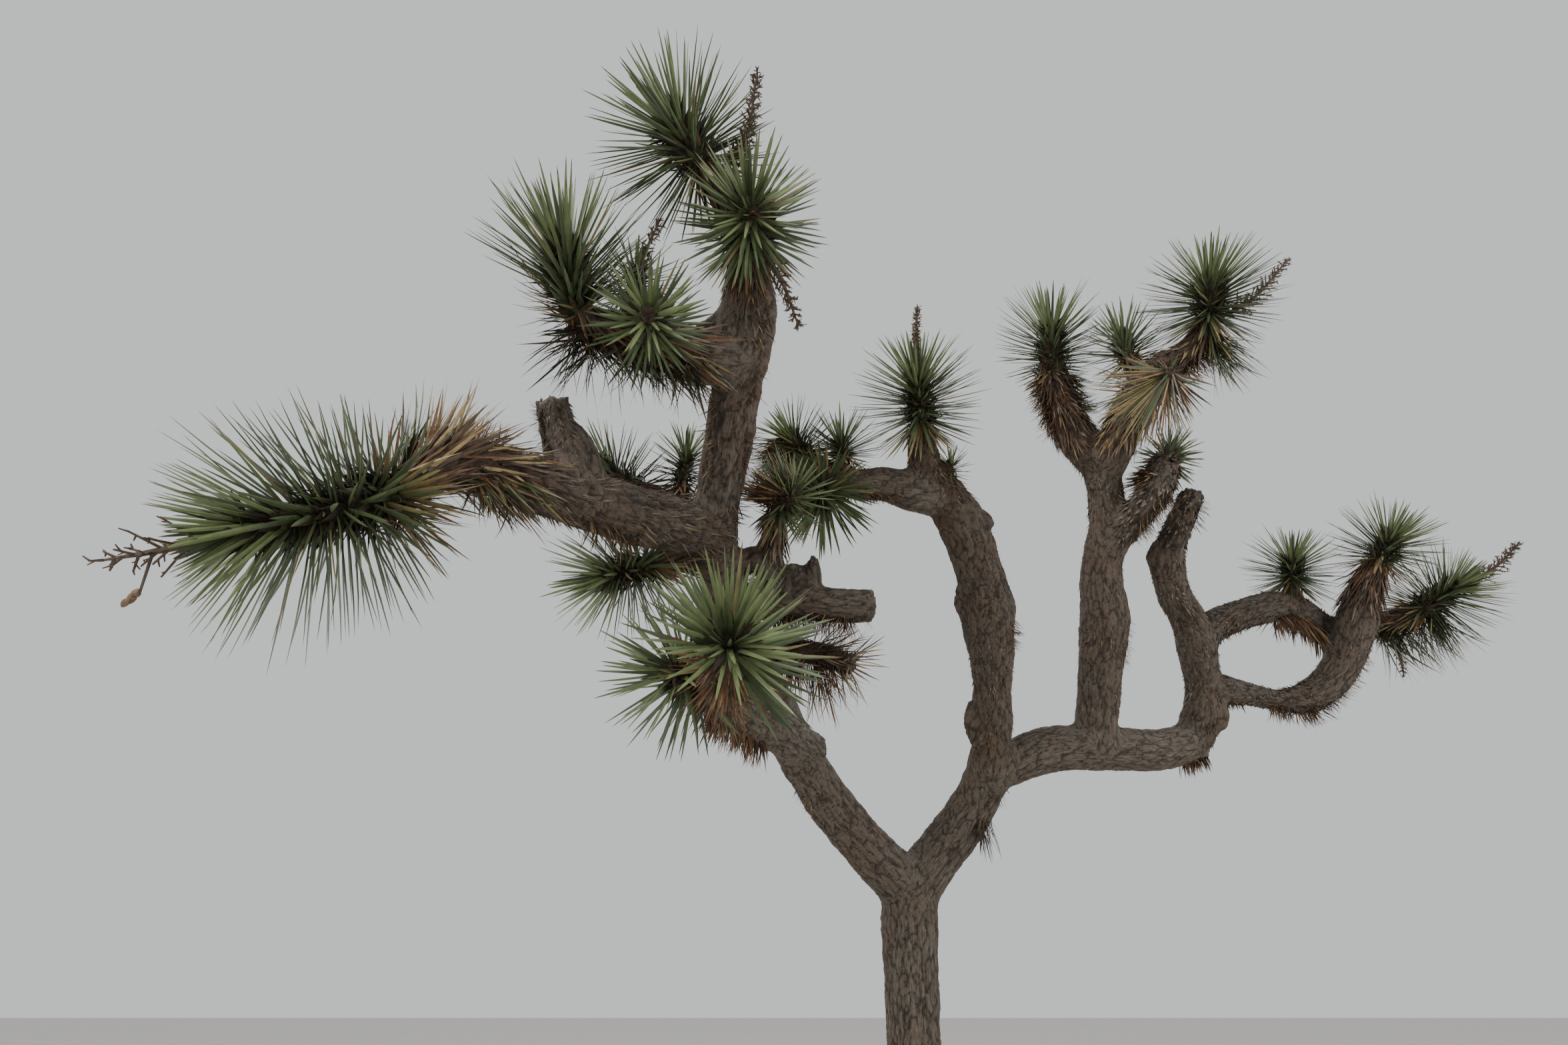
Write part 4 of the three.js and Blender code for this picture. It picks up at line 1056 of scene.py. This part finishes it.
def withered_leaves(path, random, settings, leaf, leaves, bare, lean, strict, curl, pale):
    """The dead leaves of a shoot whose bud has died, all hanging one way but for a few short ones."""
    at = sample(path, bare + (0.99 - bare) * random.random(leaves))
    out = around(at, np.arange(leaves) * GOLDEN_ANGLE)
    lean = np.array(lean)
    heading = unit(out + at["along"] * random.uniform(-0.2, 0.8, leaves)[:, None] + lean)
    length = leaf * MM * random.uniform(0.72, 1.04, leaves)
    follows = heading.dot(unit(lean)) > strict
    stray = ~follows & (random.random(leaves) < 0.25)
    length = np.where(stray, length * 0.5, length)
    finish = dead_tones(at["place"] + out * 0.05, COVERS["thatch"]["tones"], random)
    if pale:
        straw = random.choice([AGEING, STRAW, OLIVE, STRAW, BROWN], leaves)
        finish = np.where(heading[:, 0] < -0.45, straw, finish)
    kept = follows | stray
    width = settings.leaf_width * random.uniform(0.34, 0.55, leaves)
    values = (outside(at, out, 0.5), heading, at["along"] + UP * 0.01, length, width,
              random.normal(0, curl, leaves), finish, finish)
    twist = random.normal(0, curl * 2, kept.sum())
    return blades(*(value[kept] for value in values), LEAF_SECTIONS, FLAT, twist)


def folded_leaves(path, start, end, leaf, cover, random, stubs=False):
    """Dead leaves on a limb, each folded back over the older ones, towards the limb's foot."""
    count = int(path_area(path) * (end - start) * cover["coverage"] / (leaf * cover["width"] * MM * MM))
    at = sample(path, random.uniform(start, end, count))
    turn = random.uniform(0, 2 * math.pi, count)
    out = around(at, turn)
    rise = np.radians(random.uniform(*cover["lift"], count) + np.where(random.random(count) < 0.07, 18, 0))
    sideways = np.cross(at["along"], out) * random.normal(0, cover["sway"], count)[:, None]
    heading = -at["along"] * np.cos(rise)[:, None] + out * np.sin(rise)[:, None] + sideways
    under = np.clip(-out[:, 2], 0, 1)
    heading = unit(heading - UP * (cover["hang"] * (0.3 + under))[:, None])
    length = leaf * MM * random.uniform(0.5, 1.1, count)
    width = cover["width"] * MM * random.uniform(0.6, 1.2, count)
    bend = random.normal(0.02, 0.09, count)
    twist = random.normal(0, 0.7, count)
    roots = outside(at, out, FOLDED_ROOT)
    finish = dead_tones(roots, cover["tones"], random)
    shape = (STUB_SECTIONS, SPLIT) if stubs else (DEAD_SECTIONS, FLAT)
    return blades(roots, heading, out, length, width, bend, finish, finish, *shape, twist)


def tuft_leaves(path, start, end, way, count, leaf, tones, random):
    """A tuft of dead leaves that points out of one side of a limb."""
    at = sample(path, random.uniform(start, end, count))
    heading = unit(unit(np.array(way, float)) + random.normal(0, 0.2, (count, 3)))
    out = unit(heading - at["along"] * np.einsum("ij,ij->i", heading, at["along"])[:, None])
    length = leaf * MM * random.uniform(0.45, 1.15, count)
    width = (4 + 0.03 * leaf) * MM * random.uniform(0.6, 1.2, count)
    roots = outside(at, out, 0.85)
    finish = random.choice(TUFT_TONES[tones], count)
    return blades(roots, heading, out, length, width, random.normal(0, 0.1, count), finish, finish,
                  DEAD_SECTIONS, FLAT, random.normal(0, 0.5, count))


def splinters(path, count, leaf, random):
    """Torn fibres round the rim of a broken end."""
    at = sample(path, random.uniform(0.965, 1.0, count))
    out = around(at, random.uniform(0, 2 * math.pi, count))
    heading = unit(at["along"] * random.uniform(0.5, 1, count)[:, None] + out * 0.25
                   + random.normal(0, 0.25, (count, 3)))
    length = leaf * MM * random.uniform(0.3, 1.2, count)
    width = random.uniform(0.005, 0.012, count)
    roots = outside(at, out, random.uniform(0.6, 0.98, count))
    finish = dead_tones(roots, COVERS["scales"]["tones"], random)
    return blades(roots, heading, out, length, width, random.normal(0, 0.1, count), finish, finish,
                  STUB_SECTIONS, SPLIT)


def flower_stalk(route, random, twig, twigs, forks=6, hanging=0):
    """A dried flower stalk: a tapering stem, forked twigs round it, and a hanging one with the last pods."""
    path = growth_path([(*point, girth) for point, girth in zip(route, STALK_GIRTHS)])
    stem, girths = path["place"], path["girth"]
    share = 0.22 + 0.78 * (np.arange(twigs) + random.random(twigs)) / twigs
    at = sample(path, share)
    out = around(at, np.arange(twigs) * GOLDEN_ANGLE)
    heading = unit(out + at["along"] * random.uniform(0.4, 1.3, twigs)[:, None])
    length = twig * MM * random.uniform(0.6, 1.1, twigs) * (1.3 - 1.05 * share)
    ends = at["place"] + heading * length[:, None]
    batches = [rods(stem[:-1], stem[1:], girths[:-1], girths[1:]), rods(at["place"], ends, *TWIG)]
    place = random.uniform(0.3, 1.0, (twigs, forks, 1))
    foot = (at["place"][:, None] * (1 - place) + ends[:, None] * place).reshape(-1, 3)
    lean = unit(np.repeat(heading, forks, axis=0) + random.normal(0, 0.75, (twigs * forks, 3)))
    tips = foot + lean * random.uniform(0.006, 0.022, twigs * forks)[:, None]
    batches.append(rods(foot, tips, *FORK, sides=4))
    if hanging:
        top = sample(path, np.array([0.6]))["place"]
        low = top + np.array([[0.12, 0, -1.0]]) * hanging * MM
        batches.append(rods(top, low, *HANGER))
        batches += [seed_pod(low[0] + random.normal(0, 0.007, 3), random) for _ in range(4)]
    return batches


def seed_pod(tip, random):
    """A dry seed pod: an egg shape with three shallow furrows."""
    sides, rings = 8, 6
    length, girth = random.uniform(0.026, 0.034), random.uniform(0.008, 0.011)
    along = unit(random.normal(0, 0.5, 3) - UP * 0.6)
    side = unit(np.cross(along, np.array([0.3, 0.5, 0.1])))
    turn = turns(sides)
    level = np.arange(1, rings)[:, None] / rings
    radius = girth * np.sin(math.pi * level) ** 0.7 * (1 + 0.16 * np.cos(3 * turn))
    out = ring(side, np.cross(along, side), turn)
    shell = tip + along * (length * level)[..., None] + out * radius[..., None]
    places = np.concatenate([[tip], shell.reshape(-1, 3), [tip + along * length]])
    quads = 1 + tube_faces(sides, rings - 1)
    last = 1 + (rings - 1) * sides
    low, high = 1 + np.arange(sides), last - sides + np.arange(sides)
    triangles = np.concatenate([
        np.stack([np.zeros(sides, int), np.roll(low, -1), low], axis=1),
        np.stack([np.full(sides, last), high, np.roll(high, -1)], axis=1)])
    return {"places": places, "quads": quads, "triangles": triangles,
            "quad_finish": np.ones(len(quads), int), "triangle_finish": np.ones(len(triangles), int)}


def leaf_materials(colours):
    """Leaf finishes in the order of their numbers."""
    return [
        # Living dagger leaf: a waxy skin over tough fibre, so it has a dull sheen and hardly any grain
        surface("young_waxy_leaf", colours.fresh_leaf, 0.42, 1.45, 45, contrast=0.16),
        surface("grown_waxy_leaf", colours.green_leaf, 0.45, 1.45, 45, contrast=0.18),
        surface("old_waxy_leaf", colours.olive_leaf, 0.5, 1.45, 45, contrast=0.2),
        # Leaf that yellows: its wax has gone dull
        surface("yellowing_leaf", colours.ageing_leaf, 0.6, 1.45, 40, contrast=0.22),
        # The horny point of a leaf: dark and smooth
        surface("horny_leaf_point", colours.leaf_spine, 0.45, 1.54, 20),
        # Dead leaf: dry, fibrous and matt, from pale straw to the dark of rot, also painted shade on leaf
        # bases
        surface("dry_straw_leaf", colours.straw_leaf, 0.8, 1.45, 22, contrast=0.28),
        surface("dry_rust_leaf", colours.rust_leaf, 0.85, 1.45, 22, contrast=0.3),
        surface("dry_brown_leaf", colours.brown_leaf, 0.9, 1.45, 22, contrast=0.3),
        surface("weathered_leaf", colours.grey_leaf, 0.95, 1.45, 22, contrast=0.28),
        surface("rotting_leaf_and_painted_shade", colours.dark_leaf, 0.95, 1.45, 22, contrast=0.3),
    ]


def bark_materials(colours):
    """Bark finishes in the order of their numbers: bare, under the shag, and under the thatch."""
    ridge, stain, crack = colours.bark_ridge, colours.bark_stain, colours.bark_crack
    return [
        # Corky bark split into long plates by growth: matt grey ridges, fine fibre, painted shade in
        # fissures
        bark_surface("corky_fissured_bark", ridge, stain, crack, 7, 0.5, 3.0),
        # Bark still set with the stubs of leaves: rougher and browner
        bark_surface("shaggy_fibre_bark", shaded(ridge, 0.8)[:3], stain, crack, 9, 0.8, 3.5),
        # The dark mat of leaf bases under the thatch
        bark_surface("leaf_base_mat", shaded(stain, 0.7)[:3], stain, crack, 9, 1.0, 3.5),
    ]


class JoshuaTreeSizes(bpy.types.PropertyGroup):
    skin_step: bpy.props.FloatProperty(
        name="Skin step", description="Distance between the points of the bark's skin",
        default=0.009, min=0.005, unit="LENGTH")
    fissure_depth: bpy.props.FloatProperty(
        name="Fissure depth", description="Depth of the cracks between the trunk's bark plates",
        default=0.011, min=0, unit="LENGTH")
    leaf_width: bpy.props.FloatProperty(
        name="Leaf width", description="Widest part of a living leaf",
        default=0.0146, min=0.005, unit="LENGTH")


class JoshuaTreeColours(bpy.types.PropertyGroup):
    __annotations__ = {
        key: bpy.props.FloatVectorProperty(name=key.replace("_", " ").capitalize(), description=text,
                                           default=linear(shade), min=0, max=1, size=3, subtype="COLOR")
        for key, (shade, text) in COLOURS.items()}


class TREE_OT_stage(bpy.types.Operator):
    """Lays the pale floor, hangs the soft lights and sets the camera at the photograph's view"""
    bl_idname = "tree.stage"
    bl_label = "Floor, lights and camera"

    def execute(self, context):
        camera = bpy.data.objects.new("camera", bpy.data.cameras.new("camera"))
        camera.data.lens = CAMERA_LENS_MM
        camera.data.sensor_width = SENSOR_MM
        camera.location = CAMERA_PLACE
        camera.rotation_euler = (CAMERA_TILT, 0, 0)
        context.scene.collection.objects.link(camera)
        context.scene.camera = camera
        bpy.ops.mesh.primitive_plane_add(size=FLOOR_SIZE)
        floor = context.object
        floor.name = "floor"
        # Painted studio floor: even, pale and matt
        floor.data.materials.append(
            surface("matt_floor_paint", linear(FLOOR_COLOUR), 0.9, 1.5, 400, contrast=0.03, bump_mm=0.2))
        world = bpy.data.worlds.new("studio")
        world.use_nodes = True
        background = world.node_tree.nodes["Background"]
        background.inputs["Color"].default_value = (*linear(SKY_COLOUR), 1)
        background.inputs["Strength"].default_value = SKY_STRENGTH
        context.scene.world = world
        for name, (place, size, power) in LIGHTS.items():
            light = bpy.data.lights.new(name, "AREA")
            light.size = size
            light.energy = power
            lamp = bpy.data.objects.new(name, light)
            lamp.location = place
            lamp.rotation_euler = (Vector(LIT_PLACE) - Vector(place)).to_track_quat("-Z", "Y").to_euler()
            context.scene.collection.objects.link(lamp)
        return {"FINISHED"}


class TREE_OT_bark(bpy.types.Operator):
    """Makes the trunk's and boughs' bark as one skin with fissures, in a few pieces"""
    bl_idname = "tree.bark"
    bl_label = "Bark"

    def execute(self, context):
        skin, bones, tree = grow_bark(context.scene.tree_sizes)
        split_skin(skin, bones, tree, bark_materials(context.scene.tree_colours))
        bpy.data.meshes.remove(skin)
        return {"FINISHED"}


class TREE_OT_leaves(bpy.types.Operator):
    """Grows the living rosettes, a piece to each part of the crown"""
    bl_idname = "tree.leaves"
    bl_label = "Living leaves"

    def execute(self, context):
        materials = leaf_materials(context.scene.tree_colours)
        for part, lines in CROWN_PARTS.items():
            shoots = {name: path for name, path in pieces_of(lines).items() if name in ROSETTES}
            batches = []
            for number, (name, path) in enumerate(shoots.items()):
                random = np.random.default_rng([number, len(name), 7])
                batches.append(rosette_leaves(path, random, context.scene.tree_sizes, **ROSETTES[name]))
            plant(part + "_leaves", batches, materials, shoots)
        return {"FINISHED"}


class TREE_OT_thatch(bpy.types.Operator):
    """Hangs the thatch of long dead leaves on the boughs and shoots, and grows the withered rosettes"""
    bl_idname = "tree.thatch"
    bl_label = "Thatch of dead leaves"

    def execute(self, context):
        materials = leaf_materials(context.scene.tree_colours)
        for part, lines in CROWN_PARTS.items():
            batches, withered = [], []
            for number, (name, path) in enumerate(pieces_of(lines).items()):
                random = np.random.default_rng([number, len(name), 23])
                for kind, start, end, leaf in LIMB_COVERS.get(name, ()):
                    if kind in ("thatch", "fringe", "collar"):
                        batches.append(folded_leaves(path, start, end, leaf, COVERS[kind], random))
                if name in WITHERED:
                    batches.append(withered_leaves(path, random, context.scene.tree_sizes, **WITHERED[name]))
                    batches.append(leaf_bases(path, random, WITHERED[name]["leaf"] * 0.55, 190, 0.35))
                    withered.append(name)
                if name in ROSETTES:
                    own = ROSETTES[name]
                    bare, leaf = own.get("bare", 0), min(SHOOT_THATCH_MM, own["leaf"] * 0.75)
                    batches.append(folded_leaves(path, 0, bare + 0.25, leaf, COVERS["thatch"], random))
                    batches.append(leaf_bases(path, random, own["leaf"], own["leaves"], bare))
                batches += [tuft_leaves(path, *tuft, random) for tuft in TUFTS.get(name, ())]
            plant(part + "_thatch", batches, materials, withered)
        return {"FINISHED"}


class TREE_OT_shag(bpy.types.Operator):
    """Sets the boughs with the short stubs of old leaves, and broken ends with splinters"""
    bl_idname = "tree.shag"
    bl_label = "Shag of leaf stubs"

    def execute(self, context):
        materials = leaf_materials(context.scene.tree_colours)
        for part, lines in CROWN_PARTS.items():
            batches = []
            covered = ("trunk", *lines) if part == "middle" else lines
            for number, (name, path) in enumerate(pieces_of(covered).items()):
                random = np.random.default_rng([number, len(name), 41])
                for kind, start, end, leaf in LIMB_COVERS.get(name, ()):
                    if kind in ("fibre", "shag", "scales"):
                        batches.append(folded_leaves(path, start, end, leaf, COVERS[kind], random, True))
                if name in TORN_ENDS:
                    batches.append(splinters(path, *TORN_ENDS[name], random))
            plant(part + "_shag", batches, materials)
        return {"FINISHED"}


class TREE_OT_stalks(bpy.types.Operator):
    """Makes the dried flower stalks with their twigs and pods"""
    bl_idname = "tree.stalks"
    bl_label = "Dried flower stalks"

    def execute(self, context):
        batches = []
        for number, stalk in enumerate(STALKS.values()):
            batches += flower_stalk(random=np.random.default_rng([number, 51]), **stalk)
        colours = context.scene.tree_colours
        plant("flower_stalks", batches, [
            # Dried stalk: grey-brown and fibrous, with no shine left
            surface("dry_stalk_wood", colours.stalk_wood, 0.9, 1.45, 12),
            # Dried pod: papery and matt
            surface("dry_seed_pod", colours.seed_pod, 0.8, 1.45, 10),
        ])
        return {"FINISHED"}


OPERATORS = (TREE_OT_stage, TREE_OT_bark, TREE_OT_leaves, TREE_OT_thatch, TREE_OT_shag, TREE_OT_stalks)


class TREE_PT_panel(bpy.types.Panel):
    """Lists the tree's sizes, its colours and its makers"""
    bl_label = "Joshua Tree"
    bl_idname = "TREE_PT_panel"
    bl_space_type = "VIEW_3D"
    bl_region_type = "UI"
    bl_category = "Joshua Tree"

    def draw(self, context):
        for group in (context.scene.tree_sizes, context.scene.tree_colours):
            for key in type(group).__annotations__:
                self.layout.prop(group, key)
        for maker in OPERATORS:
            self.layout.operator(maker.bl_idname)


CLASSES = (JoshuaTreeSizes, JoshuaTreeColours, *OPERATORS, TREE_PT_panel)


def register():
    for one in CLASSES:
        bpy.utils.register_class(one)
    bpy.types.Scene.tree_sizes = bpy.props.PointerProperty(type=JoshuaTreeSizes)
    bpy.types.Scene.tree_colours = bpy.props.PointerProperty(type=JoshuaTreeColours)


def unregister():
    del bpy.types.Scene.tree_colours
    del bpy.types.Scene.tree_sizes
    for one in reversed(CLASSES):
        bpy.utils.unregister_class(one)


def main():
    register()
    bpy.ops.tree.stage()
    bpy.ops.tree.bark()
    bpy.ops.tree.leaves()
    bpy.ops.tree.thatch()
    bpy.ops.tree.shag()
    bpy.ops.tree.stalks()


if __name__ == "__main__":
    main()
